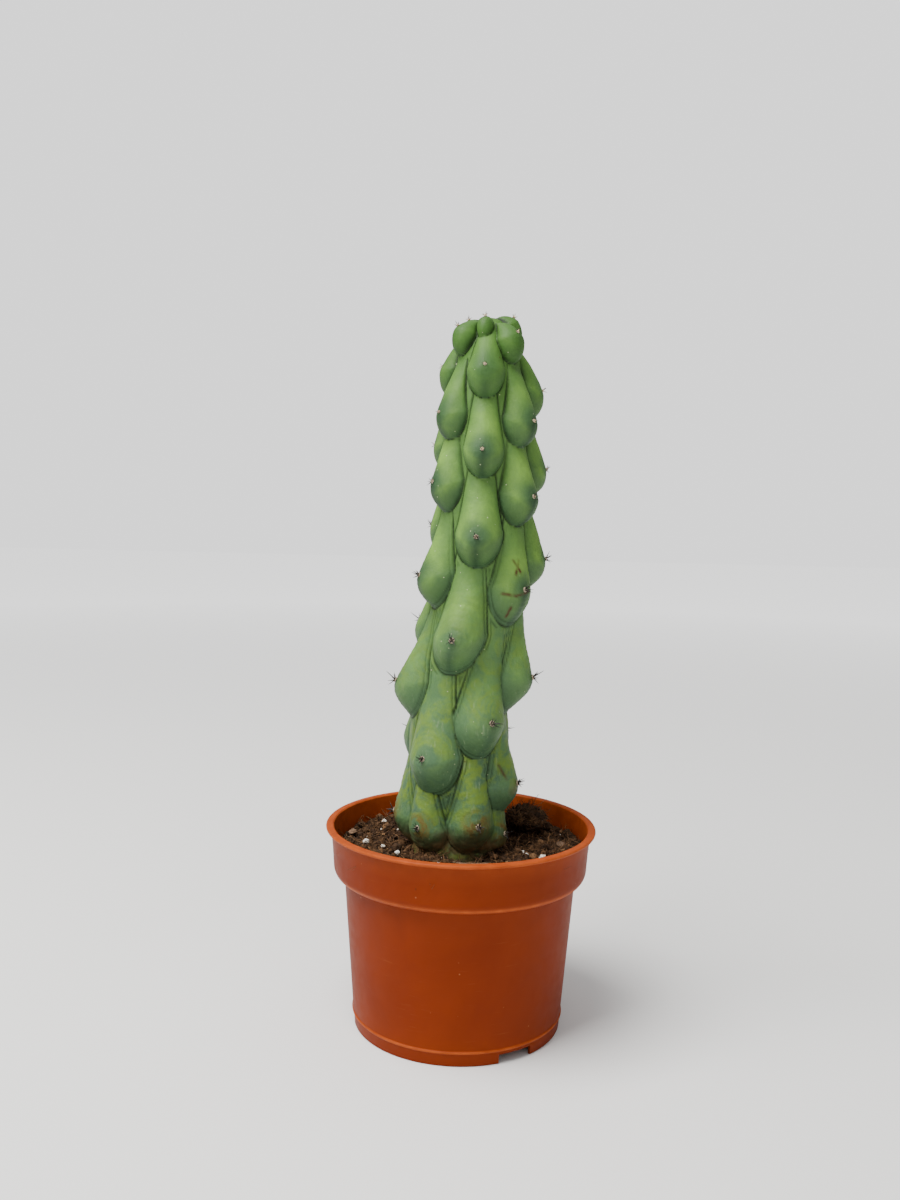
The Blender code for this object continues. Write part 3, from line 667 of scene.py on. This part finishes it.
bumps = 0.22 * MM * unevenness(stem_points, 5 * MM, 11) + 0.07 * MM * unevenness(stem_points, 1.6 * MM, 12)
ripple = np.sin(math.tau * from_areole / (2.3 * MM) + 2 * unevenness(stem_points, 9 * MM, 17))
bumps = bumps + 0.07 * MM * ripple * ageing * eased(24 * MM, 12 * MM, from_areole)
bumps = bumps - 0.6 * MM * crease + foot * 0.55 * MM * unevenness(stem_points * (1, 1, 0.5), 1.8 * MM, 13)
bumps = bumps * eased(STEM_TOP + MM, STEM_TOP - 12 * MM, stem_heights)[:, None]
stem_points = stem_points + level_way * bumps[..., None]


def capped(points, top, bottom):
    """A grid of rings closed with a fan of triangles onto a point at each end."""
    rows, columns = points.shape[:2]
    step = np.arange(columns)
    after, last = (step + 1) % columns, (rows - 1) * columns
    crown, base = rows * columns, rows * columns + 1
    faces = grid_faces(rows, columns).tolist()
    faces += np.stack((np.full(columns, crown), step, after), -1).tolist()
    faces += np.stack((np.full(columns, base), last + after, last + step), -1).tolist()
    return np.concatenate((points.reshape(-1, 3), [top, bottom])), faces


def with_ends(values, top=0.0, bottom=0.0):
    """A value for each point of the rings, and one for each of the two points that close them."""
    return np.concatenate((np.ravel(values), (top, bottom)))


# The tongue colour is the skin's yellow-green brightened by a painted highlight, and the valley colour is
# darkened by painted shade.
SKIN_TONGUE_LIT = (0.240, 0.455, 0.052, 1)
SKIN_YOUNG = (0.040, 0.115, 0.009, 1)
# The bloom colour is the skin's real blue-green bloom, made darker so that it also gives painted shade on the
# undersides.
SKIN_BLOOM_AND_SHADE = (0.020, 0.054, 0.028, 1)
SKIN_VALLEY = (0.080, 0.172, 0.034, 1)
SKIN_OLD = (0.040, 0.094, 0.048, 1)
SKIN_OLIVE = (0.115, 0.190, 0.010, 1)
# The crease colour is painted shade in the folds.
SKIN_CREASE_SHADE = (0.006, 0.018, 0.003, 1)
SKIN_STREAK = (0.006, 0.026, 0.011, 1)
SKIN_SCRATCH = (0.30, 0.38, 0.21, 1)
SKIN_WAX = (0.17, 0.27, 0.15, 1)
SKIN_SPECK = (0.45, 0.50, 0.28, 1)
CORK = ((0.17, 0.10, 0.035, 1), (0.13, 0.10, 0.05, 1))
CORK_KNOB = (0.115, 0.080, 0.022, 1)
SCAR = (0.060, 0.024, 0.010, 1)
# Healed nicks: (degrees round, millimetres over the rim) from one end to the other.
NICKS = ((36, 119, 44, 114), (38, 113, 43, 119), (24, 105, 38, 104), (38, 104, 54, 106), (35, 99, 35, 95),
         (-24, 64, -20, 60), (52, 30, 57, 24))


def nicked(angle, height):
    """1 along each nick, falling off as a bell 0.55 mm to either side of its line."""
    deepest = 0
    for turn, up, next_turn, next_up in NICKS:
        across = (np.radians(turn) - angle) * CORE_LOW + 0 * height
        start = np.stack((-across, height - POT_TOP - up * MM + 0 * angle), -1)
        run = np.array((math.radians(next_turn - turn) * CORE_LOW, (next_up - up) * MM))
        share = np.clip(start @ run / (run @ run), 0, 1)[..., None]
        apart = np.linalg.norm(start - share * run, axis=-1)
        deepest = np.maximum(deepest, np.exp(-(apart / (0.55 * MM)) ** 2))
    return deepest


def cactus_skin():
    """Waxy skin: yellow-green tongues, brightened with a painted highlight on their raised tops over valleys
    darkened with painted shade; blue-green bloom round the areoles, darkened with painted shade over the
    lower half of each tubercle; darker and greyer lower down, mottled, with pale and brown specks, creases
    darkened with painted shade, and cork at the foot."""
    made, tree, shader = finish_of("cactus_skin", 0.5, Specular_IOR_Level=0.16)
    height = put(tree, "ShaderNodeSeparateXYZ", {0: object_place(tree)}).outputs["Z"]
    youth, age = ramp(tree, height, 0.262, 0.305), ramp(tree, height, 0.21, 0.115)
    mottle = effect(tree, MOTTLING, Size=0.018, Contrast=2.4, Warp=1.2)
    patch = effect(tree, MOTTLING, Size=0.006, Contrast=3.2, Warp=0.6)
    blotch = effect(tree, MOTTLING, Size=0.012, Contrast=8.0, Warp=1.5)
    under, from_areole = value_of(tree, "under"), value_of(tree, "from_areole")
    # The colour rises from the valley colour to the tongue colour with the skin's lift: partly the skin's own
    # yellow-green, partly a painted highlight on the raised tops and painted shade in the valleys between the
    # tubercles.
    base = mixed(tree, ramp(tree, value_of(tree, "fullness"), 0.1, 0.7), SKIN_VALLEY, SKIN_TONGUE_LIT)
    base = mixed(tree, product(tree, mottle["Patches"], 0.6), base, SKIN_VALLEY)
    base = mixed(tree, product(tree, patch["Patches"], 0.25), base, SKIN_BLOOM_AND_SHADE)
    # Real bloom round each areole, and painted shade over the lower half of each tubercle (under).
    near = ramp(tree, from_areole, 12.0, 2.0, interpolation_type="SMOOTHSTEP")
    bloom_and_painted_shade = maths(tree, "MAXIMUM", near, product(tree, under, 0.8))
    worn = maths(tree, "MULTIPLY_ADD", product(tree, age, patch["Patches"]), -0.8, 0.9)
    base = mixed(tree, product(tree, bloom_and_painted_shade, worn), base, SKIN_BLOOM_AND_SHADE)
    midline = ramp(tree, value_of(tree, "aside"), 3.6, 0.3)
    base = mixed(tree, product(tree, midline, under, 0.75), base, SKIN_STREAK)
    base = mixed(tree, product(tree, youth, 0.75), base, SKIN_YOUNG)
    old = product(tree, age, maths(tree, "MULTIPLY_ADD", patch["Patches"], 0.4, 0.6), clamp=True)
    base = mixed(tree, old, base, SKIN_OLD)
    olive = product(tree, blotch["Patches"], age, product(tree, blotch["Fine"], 1.7))
    olive = product(tree, olive, maths(tree, "SUBTRACT", 1.0, under), clamp=True)
    base = mixed(tree, olive, base, SKIN_OLIVE)
    scratch = ramp(tree, streaks(tree, 0.12, 700.0, 3.0), 0.62, 0.74)
    base = mixed(tree, product(tree, scratch, age, 0.3), base, SKIN_SCRATCH)
    waxy = product(tree, patch["Fine"], maths(tree, "MULTIPLY_ADD", age, 0.16, 0.10))
    base = mixed(tree, waxy, base, SKIN_WAX)
    # Darkens the folds between tubercles: painted shade.
    base = mixed(tree, value_of(tree, "crease"), base, SKIN_CREASE_SHADE)
    pale = effect(tree, SPECKS, Size=0.0036, Radius=0.085, Share=0.4)["Spots"]
    base = mixed(tree, product(tree, pale, 0.65), base, SKIN_SPECK)
    brown = effect(tree, SPECKS, Size=0.0095, Radius=0.06, Share=0.3)["Spots"]
    base = mixed(tree, product(tree, brown, 0.7), base, SCAR)
    spread = maths(tree, "MULTIPLY_ADD", patch["Patches"], 0.8, 0.35)
    foot = product(tree, value_of(tree, "foot"), spread, clamp=True)
    base = mixed(tree, foot, base, mixed(tree, patch["Fine"], *CORK))
    knob = product(tree, ramp(tree, from_areole, 8.0, 3.0), ramp(tree, height, 0.114, 0.102))
    knob = product(tree, knob, product(tree, blotch["Patches"], 1.3), clamp=True)
    knob = product(tree, knob, maths(tree, "MULTIPLY_ADD", patch["Fine"], 1.4, 0.1), clamp=True)
    base = mixed(tree, knob, base, CORK_KNOB)
    base = mixed(tree, product(tree, value_of(tree, "scar"), 1.4, clamp=True), base, SCAR)
    tree.links.new(base, shader.inputs["Base Color"])
    tree.links.new(maths(tree, "MULTIPLY_ADD", patch["Fine"], 0.25, 0.4), shader.inputs["Roughness"])
    fine = effect(tree, MOTTLING, Size=0.0012, Contrast=1.5)
    relief(tree, shader, fine["Patches"], 0.14 * MM)
    return made


scar = nicked(stem_angles[None, :], stem_points[..., 2]) * (0.6 + 0.4 * unevenness(stem_points, 1.5 * MM, 16))
# The lower half of each tubercle, under its areole: the skin material darkens it with painted shade.
under = eased(6 * MM, -6 * MM, up + 2 * MM * unevenness(stem_points, 5 * MM, 18))
stem_shape, stem_faces = capped(stem_points, (float(stem_middle(STEM_TOP)), 0, STEM_TOP + 0.2 * MM),
                                (float(stem_middle(stem_bottom)), 0, stem_bottom))
stem_mesh = mesh_of("stem", stem_shape, stem_faces, fullness=with_ends(fullness), crease=with_ends(crease),
                    from_areole=with_ends(from_areole / MM, 30, 30), foot=with_ends(foot, 0, 1),
                    under=with_ends(under), aside=with_ends(np.abs(aside) / MM, 30, 30),
                    scar=with_ends(scar))
piece("stem", stem_mesh, cactus_skin(), "cactus_stem", slot="cactus_skin")


# ---- Spine clusters ----
# Each areole carries a pad of pale felt with a few short spines spreading from it and a longer one in
# the middle. The young ones are cream with black tips; down the stem they are dark all along.

SPINE_SIDES, SPINE_RINGS = 6, 7
HAIRS = 26
SPINE_TAN, SPINE_BLACK = (0.62, 0.47, 0.28, 1), (0.010, 0.007, 0.005, 1)
FELT = ((0.50, 0.43, 0.31, 1), (0.12, 0.07, 0.04, 1))
ACROSS = (0.31, 0.87, 0.37)  # any direction that no spine points in


def spine(base, way, length, width, bend):
    """A spine as rings round a bowed line: radius width * (1 - 0.97 s)^0.7, bowed by bend * s^2, with s
    from 1 at the tip to 0 at the base; its points, faces and s at each point."""
    s = np.linspace(1, 0, SPINE_RINGS)[:, None]
    line = base + way * length * s + bend * length * s ** 2
    side = unit(np.cross(way, ACROSS))
    other = np.cross(way, side)
    turn = full_turn(SPINE_SIDES)
    round_it = np.cos(turn)[:, None] * side + np.sin(turn)[:, None] * other
    thick = width * (1 - 0.97 * s) ** 0.7
    points = line[:, None, :] + thick[:, None, :] * round_it[None]
    shape, faces = capped(points, line[0], line[-1])
    return shape, faces, with_ends(np.repeat(s, SPINE_SIDES, 1), 1.0, 0.0)


def felt_pad(centre, out, side, radius, thick):
    """A low dome of felt: thick * (1 - r^2) high over a disc, closed by a shallow one below it."""
    other = np.cross(out, side)
    rings, sides = 6, 14
    turn = full_turn(sides)
    slope = np.linspace(0.12, 1, rings) * math.pi / 2
    slope = np.concatenate((slope, [math.pi - 0.5, math.pi - 0.2]))[:, None]
    ring = radius * np.sin(slope) * np.stack((np.cos(turn), np.sin(turn)))[:, None, :]
    lift = thick * np.cos(slope) * np.where(np.cos(slope) > 0, 1, 0.35) + 0 * turn
    points = centre + ring[0][..., None] * side + ring[1][..., None] * other + lift[..., None] * out
    points = points + 0.12 * radius * unevenness(points, 0.5 * MM, 41)[..., None] * out
    shape, faces = capped(points, centre + out * thick * 1.02, centre - out * thick * 0.35)
    return shape, faces, np.full(len(shape), -1.0)


def hair(seat, way, length):
    """A hair of the felt: a sliver with a three-sided foot, drawn out to a point."""
    side = unit(np.cross(way, ACROSS))
    turn = np.arange(3) * math.tau / 3
    ring = np.cos(turn)[:, None] * side + np.sin(turn)[:, None] * np.cross(way, side)
    points = np.concatenate((seat + way * 0.3 * MM + 0.035 * MM * ring, [seat + way * length]))
    return points, [[0, 1, 3], [1, 2, 3], [2, 0, 3], [2, 1, 0]], np.full(4, -1.0)


def spine_finish():
    """Spines: tan at the base, black at the tip, and the felt of the pad pale grey; `dark` is how much of
    the spine is black."""
    made, tree, shader = finish_of("spine", 0.55)
    along = value_of(tree, "along")
    start = maths(tree, "MULTIPLY_ADD", value_of(tree, "dark"), -0.5, 0.38)
    black = ramp(tree, along, start, maths(tree, "ADD", start, 0.25))
    base = mixed(tree, black, SPINE_TAN, SPINE_BLACK)
    felt = maths(tree, "LESS_THAN", along, -0.5)
    wool = effect(tree, MOTTLING, Size=0.0006, Contrast=2.0)["Patches"]
    tree.links.new(mixed(tree, felt, base, mixed(tree, wool, *FELT)), shader.inputs["Base Color"])
    tree.links.new(maths(tree, "MULTIPLY_ADD", felt, 0.35, 0.5), shader.inputs["Roughness"])
    return made


spine_material = spine_finish()
for number, (turn, areole, row, rise) in enumerate(TUBERCLES):
    pick = np.random.default_rng(300 + number)
    step = 0.004
    near = stem_skin(np.array([turn, turn + step, turn - step, turn, turn]),
                     areole + np.array([0, 0, 0, 1, -1]) * 0.3 * MM)[0]
    out = unit(np.cross(near[1] - near[2], near[3] - near[4]))
    side = unit(np.cross((0, 0, 1), out))
    up_way = np.cross(out, side)
    seat = near[0] + out * 0.15 * MM
    old = np.clip((row - 0.6) / 2.4, 0, 1)
    strands = [felt_pad(seat, out, side, (0.7 + 0.6 * old) * MM, 0.5 * MM)]
    count = 5 + int(round(3 * old))
    for k in range(count):
        around = math.tau * (k + pick.uniform(-0.3, 0.3)) / count
        spread = pick.uniform(0.55, 1.1)
        way = unit(math.cos(around) * side + math.sin(around) * up_way + spread * out)
        length = (1.8 + 1.6 * old) * MM * pick.uniform(0.6, 1.25)
        strands.append(spine(seat, way, length, (0.24 + 0.04 * old) * MM, pick.uniform(-0.15, 0.15, 3)))
    way = unit(out + 0.35 * pick.uniform(-1, 1) * side + 0.5 * pick.uniform(-0.3, 1) * up_way)
    extra = 4.2 if 2.9 < row < 4.1 else 0  # the longest spines stand low on the stem
    longest = (2.2 + 1.8 * old + extra * pick.uniform(0.3, 1)) * MM
    strands.append(spine(seat, way, longest, (0.27 + 0.04 * old) * MM, pick.uniform(-0.1, 0.1, 3)))
    for _ in range(HAIRS):
        way = out * pick.uniform(0.2, 1) + side * pick.uniform(-1, 1) + up_way * pick.uniform(-1, 1)
        strands.append(hair(seat, unit(way), pick.uniform(0.5, 1.1) * (1.1 + 0.8 * old) * MM))
    starts = np.cumsum([0] + [len(points) for points, _, _ in strands])
    faces = [[int(corner) + int(start) for corner in face]
             for start, (_, faces, _) in zip(starts, strands) for face in faces]
    cluster_points = np.concatenate([points for points, _, _ in strands])
    cluster_along = np.concatenate([along for _, _, along in strands])
    cluster = mesh_of(f"spine_cluster_{number + 1:02d}", cluster_points, faces, along=cluster_along,
                      dark=np.full(starts[-1], old))
    piece(cluster.name, cluster, spine_material, f"spines_{number + 1:02d}", slot="spine")


# ---- Potting mix ----
# Dark fibrous peat and coir, pressed in by hand: a lumpy bed inside the wall, crumbs and short strands
# all over it, some of them standing up, and one clod pushed up behind the stem.

SOIL_EDGE = float(inner_wall(SOIL)) - GAP
CRUMBS, STRANDS = 3600, 2600
BED_AROUND = 260
STRAND_SIDES, STRAND_RINGS = 3, 6
# The first peat colour, near black, is painted shade for the hollows; the second is the peat's own brown.
PEAT_HOLLOW_SHADE_AND_TOP = ((0.004, 0.0022, 0.001, 1), (0.042, 0.018, 0.006, 1))
PEAT_BROWN = (0.055, 0.024, 0.008, 1)
COIR = (0.26, 0.135, 0.060, 1)


def bed_level(x, y):
    """The bed's surface: the fill level with its dip at the stem, plus lumps of three sizes."""
    radius = np.hypot(x, y)
    dip = 1.5 * MM * (1 - eased(CORE_AT_FOOT + 8 * MM, CORE_AT_FOOT + 17 * MM, radius))
    flat = np.stack((x, y, 0 * x), -1)
    rise = 1.6 * MM * unevenness(flat, 9 * MM, 21) + 1.3 * MM * unevenness(flat, 3.6 * MM, 22)
    rise = rise + 0.7 * MM * unevenness(flat, 1.5 * MM, 23) - 0.9 * MM
    return SOIL - dip + rise


def tumbled(count, seed):
    """Random rotations, one matrix each, from normalised random quaternions."""
    q = np.random.default_rng(seed).normal(size=(count, 4))
    w, x, y, z = (q / np.linalg.norm(q, axis=1, keepdims=True)).T
    return np.stack((1 - 2 * (y * y + z * z), 2 * (x * y - z * w), 2 * (x * z + y * w),
                     2 * (x * y + z * w), 1 - 2 * (x * x + z * z), 2 * (y * z - x * w),
                     2 * (x * z - y * w), 2 * (y * z + x * w), 1 - 2 * (x * x + y * y)), -1).reshape(-1, 3, 3)


# An icosahedron's twelve corners, which every crumb is bent from.
GOLD = (1 + math.sqrt(5)) / 2
LUMP = np.array([(s, t * GOLD, 0) for s in (-1, 1) for t in (-1, 1)])
LUMP = np.concatenate((LUMP, LUMP[:, [2, 0, 1]], LUMP[:, [1, 2, 0]])) / math.hypot(1, GOLD)


def hull_faces(points):
    """The triangles of a small convex shape, each turned outwards."""
    found = []
    for a in range(len(points)):
        for b in range(a + 1, len(points)):
            for c in range(b + 1, len(points)):
                normal = np.cross(points[b] - points[a], points[c] - points[a])
                side = (points - points[a]) @ normal
                if (side < 1e-9).all():
                    found.append((a, b, c))
                elif (side > -1e-9).all():
                    found.append((a, c, b))
    return np.array(found)


LUMP_FACES = hull_faces(LUMP)


def lumps(places, sizes, seed):
    """Small irregular lumps, a dozen points each: stretched, dented and tumbled copies of one shape."""
    pick = np.random.default_rng(seed)
    count = len(places)
    shape = LUMP[None] * pick.uniform(0.65, 1.15, (count, len(LUMP), 1))
    shape = shape * pick.uniform(0.5, 1, (count, 1, 3))
    shape = np.einsum("nij,npj->npi", tumbled(count, seed), shape) * sizes[:, None, None] / 2
    faces = LUMP_FACES[None] + len(LUMP) * np.arange(count)[:, None, None]
    return (places[:, None, :] + shape).reshape(-1, 3), faces.reshape(-1, 3)


def strands_on(places, ways, lengths, widths, seed):
    """Thin curling strands: a bowed line of six points with three sides, drawn out to its ends."""
    pick = np.random.default_rng(seed)
    count = len(places)
    s = np.linspace(0.5, -0.5, STRAND_RINGS)[None, :, None]
    curl = pick.normal(size=(2, count, 1, 3)) * lengths[:, None, None] * 0.45
    line = places[:, None] + ways[:, None] * lengths[:, None, None] * s
    line = line + curl[0] * s ** 2 + curl[1] * s ** 3 * 1.5
    side = unit(np.cross(ways, pick.normal(size=(count, 3))))
    other = np.cross(ways, side)
    turn = full_turn(STRAND_SIDES)
    ring = np.cos(turn)[:, None] * side[:, None] + np.sin(turn)[:, None] * other[:, None]
    thick = widths[:, None, None, None] / 2 * (1 - (1.8 * s[..., None]) ** 4 * 0.8)
    points = line[:, :, None] + ring[:, None] * thick
    rows = grid_faces(STRAND_RINGS, STRAND_SIDES)
    whole = STRAND_RINGS * STRAND_SIDES
    lids = np.array([(0, 1, 2), (whole - 3, whole - 1, whole - 2)])
    base = np.arange(count)[:, None, None] * whole
    return points.reshape(-1, 3), (rows + base).reshape(-1, 4), (lids + base).reshape(-1, 3)


def soil_finish():
    """Damp peat: near black in the hollows of its fine relief, which is painted shade, brown on the crumbs,
    with tan strands. `shade` is how tan each one is."""
    made, tree, shader = finish_of("potting_mix", 0.9, Specular_IOR_Level=0.25)
    grain = effect(tree, MOTTLING, Size=0.0016, Contrast=2.6)
    broad = effect(tree, MOTTLING, Size=0.012, Contrast=2.0)
    # Near black where the grain is low, which is also where the relief below sinks: painted shade in the
    # hollows.
    base = mixed(tree, grain["Patches"], *PEAT_HOLLOW_SHADE_AND_TOP)
    base = mixed(tree, product(tree, broad["Patches"], 0.35), base, PEAT_BROWN)
    base = mixed(tree, value_of(tree, "shade"), base, COIR)
    tree.links.new(base, shader.inputs["Base Color"])
    relief(tree, shader, grain["Patches"], 0.5 * MM)
    return made


soil_material = soil_finish()
bed_turn = full_turn(BED_AROUND)
SOCKET = CORE_AT_FOOT + GAP
bed_radius = np.linspace(SOCKET, SOIL_EDGE, 70)[:, None]
off_centre = stem_middle(SOIL_AT_STEM) * (SOIL_EDGE - bed_radius) / (SOIL_EDGE - SOCKET)
bed_x, bed_y = off_centre + bed_radius * np.sin(bed_turn), -bed_radius * np.cos(bed_turn)
bed_top = np.stack((bed_x, bed_y, bed_level(bed_x, bed_y)), -1)
socket_levels = np.linspace(stem_bottom - GAP, SOIL_AT_STEM - 3 * MM, 6)
bed_socket = turned(np.stack((np.full(6, SOCKET), socket_levels), -1), BED_AROUND)
bed_socket[..., 0] += stem_middle(socket_levels)[:, None]
bed_bottom = FLOOR_LEVEL + WALL + GAP
side_levels = (KNEE + BAND_CURVE + GAP, KNEE + GAP, BAND_BOTTOM, bed_bottom)
bed_sides = turned(np.array([(float(inner_wall(level)) - GAP, level) for level in side_levels]), BED_AROUND)
bed_points, bed_faces = capped(np.concatenate((bed_socket, bed_top, bed_sides)),
                               (float(stem_middle(stem_bottom)), 0, stem_bottom - GAP), (0, 0, bed_bottom))
bed_mesh = mesh_of("potting_mix_bed", bed_points, bed_faces, shade=np.zeros(len(bed_points)))
piece("potting_mix_bed", bed_mesh, soil_material, "potting_mix", slot="potting_mix")


def corners_of(node):
    """The lowest and highest corner of a CAD node's box."""
    return (np.array(corner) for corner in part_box(node))


def ball_grid(rings, around, pole):
    """A ball of radius 1 as rings from the top down, the first and last `pole` radians off its poles."""
    slope, turn = np.meshgrid(np.linspace(pole, math.pi - pole, rings), full_turn(around), indexing="ij")
    return np.stack((np.sin(slope) * np.sin(turn), -np.sin(slope) * np.cos(turn), np.cos(slope)), -1)


clod_low, clod_high = corners_of("soil_clod")
clod_middle, clod_half = (clod_low + clod_high) / 2, (clod_high - clod_low) / 2
ball = ball_grid(60, 96, 0.04)
rough = 1.02 + 0.2 * unevenness(ball, 0.55, 31) + 0.15 * unevenness(ball, 0.2, 32)
rough = rough + 0.08 * unevenness(ball, 0.08, 33)
clod_points = clod_middle + ball * rough[..., None] * clod_half * (0.98, 0.98, 1.0) * 0.95
clod_pole = np.array((0, 0, clod_half[2] * 0.95))
clod_shape, clod_faces = capped(clod_points, clod_middle + clod_pole, clod_middle - clod_pole)
clod_mesh = mesh_of("clod", clod_shape, clod_faces, shade=np.zeros(len(clod_shape)))
piece("clod", clod_mesh, soil_material, "soil_clod", slot="potting_mix")

pick = np.random.default_rng(77)


def over_bed(count):
    """Random places on the bed between the stem and the wall."""
    radius = np.sqrt(pick.uniform((CORE_AT_FOOT + MM) ** 2, (SOIL_EDGE - MM) ** 2, count))
    turn = pick.uniform(0, math.tau, count)
    x, y = radius * np.sin(turn), -radius * np.cos(turn)
    return np.stack((x, y, bed_level(x, y)), -1)


def over_clod(count):
    """Random places on the upper half of the clod."""
    way = pick.normal(size=(count, 3))
    way[:, 2] = np.abs(way[:, 2])
    return clod_middle + unit(way) * clod_half * 0.97


crumb_places = np.concatenate((over_bed(CRUMBS), over_clod(CRUMBS // 6)))
crumb_sizes = 0.7 * MM + 6.0 * MM * pick.beta(1.0, 4.0, len(crumb_places))
crumb_places[:, 2] += 0.2 * crumb_sizes
crumb_points, crumb_faces = lumps(crumb_places, crumb_sizes, 78)
crumb_mesh = mesh_of("soil_crumbs", crumb_points, crumb_faces,
                     shade=np.repeat(pick.beta(0.5, 3.0, len(crumb_places)), len(LUMP)))
crumb_mesh.shade_flat()
piece("soil_crumbs", crumb_mesh, soil_material, slot="potting_mix")

strand_places = np.concatenate((over_bed(STRANDS), over_clod(STRANDS // 5)))
count = len(strand_places)
strand_ways = unit(pick.normal(size=(count, 3)) * (1, 1, 0.55))
strand_lengths = 3 * MM + 11 * MM * pick.beta(1.2, 3.2, count)
strand_widths = 0.16 * MM + 0.30 * MM * pick.beta(1, 3, count)
strand_places[:, 2] += 0.25 * MM + 0.3 * strand_lengths * np.abs(strand_ways[:, 2])
strand_points, strand_quads, strand_lids = strands_on(strand_places, strand_ways, strand_lengths,
                                                      strand_widths, 79)
strand_mesh = mesh_of("soil_strands", strand_points, strand_quads.tolist() + strand_lids.tolist(),
                      shade=np.repeat(pick.beta(1.1, 1.7, count), STRAND_RINGS * STRAND_SIDES))
piece("soil_strands", strand_mesh, soil_material, slot="potting_mix")


# ---- Perlite, bark and twig ----
# White grains of expanded perlite, pitted and a little dusty, and a few flakes of bark with one thin
# twig, all of them lying loose on the mix.

PERLITE = ((0.86, 0.84, 0.78, 1), (0.50, 0.40, 0.28, 1))
BARK = ((0.055, 0.027, 0.013, 1), (0.20, 0.115, 0.06, 1))


def pebble(low, high, seed, dents):
    """A rough ball fitted to a box: radius 1 plus unevenness of three sizes, times the box's half sizes."""
    ball = ball_grid(26, 40, 0.08)
    rough = sum(depth * unevenness(ball, cell, seed) for depth, cell in zip(dents, (0.9, 0.4, 0.16)))
    middle, half = (low + high) / 2, (high - low) / 2
    points = middle + ball * (1 + rough[..., None]) * half
    return capped(points, middle + (0, 0, half[2]), middle - (0, 0, half[2]))


def perlite_finish():
    """Expanded glass: dull white, with pits and a little brown dust."""
    made, tree, shader = finish_of("perlite", 0.85)
    dirt = effect(tree, MOTTLING, Size=0.0016, Contrast=2.2)
    base = mixed(tree, product(tree, dirt["Patches"], 0.75), *PERLITE)
    tree.links.new(base, shader.inputs["Base Color"])
    relief(tree, shader, dirt["Fine"], 0.2 * MM)
    return made


def bark_finish():
    """Weathered bark and wood: brown, streaked along its grain, paler on its worn faces."""
    made, tree, shader = finish_of("bark", 0.85)
    streak = effect(tree, MOTTLING, Size=0.002, Contrast=2.4, Warp=2.0)
    tree.links.new(mixed(tree, streak["Patches"], *BARK), shader.inputs["Base Color"])
    relief(tree, shader, streak["Patches"], 0.25 * MM)
    return made


perlite_material = perlite_finish()
bark_material = bark_finish()
for number in range(1, 9):
    low, high = corners_of(f"perlite_{number}")
    points, faces = pebble(low, high, 50 + number, (0.28, 0.24, 0.14))
    grain = mesh_of(f"perlite_grain_{number}", points, faces)
    piece(grain.name, grain, perlite_material, f"perlite_{number}", slot="perlite")

bit_places = over_bed(60) + (0, 0, 0.3 * MM)
bit_places[:8] = over_clod(8)
bit_points, bit_faces = lumps(bit_places, 0.7 * MM + 1.1 * MM * pick.beta(1, 3, len(bit_places)), 81)
bit_mesh = mesh_of("perlite_bits", bit_points, bit_faces)
piece("perlite_bits", bit_mesh, perlite_material, slot="perlite")

for number in (1, 2):
    low, high = corners_of(f"bark_chip_{number}")
    points, faces = pebble(low, high, 60 + number, (0.22, 0.12, 0.05))
    chip = mesh_of(f"bark_flake_{number}", points, faces)
    piece(chip.name, chip, bark_material, f"bark_chip_{number}", slot="bark")

twig_low, twig_high = corners_of("twig")
along = np.linspace(1, 0, 40)[:, None]
twig_shares = np.concatenate((along, 0.5 + 1.6 * (along - 0.5) ** 2, 0 * along + 0.5), 1)
twig_line = twig_low + (twig_high - twig_low) * twig_shares
twig_turn = full_turn(12)
twig_ring = np.stack((0 * twig_turn, np.cos(twig_turn), np.sin(twig_turn)), -1)
twig_thick = 0.62 * MM * (1 - 0.25 * along + 0.12 * unevenness(twig_line, 2 * MM, 71)[:, None])
twig_rings = twig_line[:, None] + twig_ring[None] * twig_thick[..., None]
twig_points, twig_faces = capped(twig_rings, twig_line[0], twig_line[-1])
piece("twig_stick", mesh_of("twig_stick", twig_points, twig_faces), bark_material, "twig", slot="bark")


low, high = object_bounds()
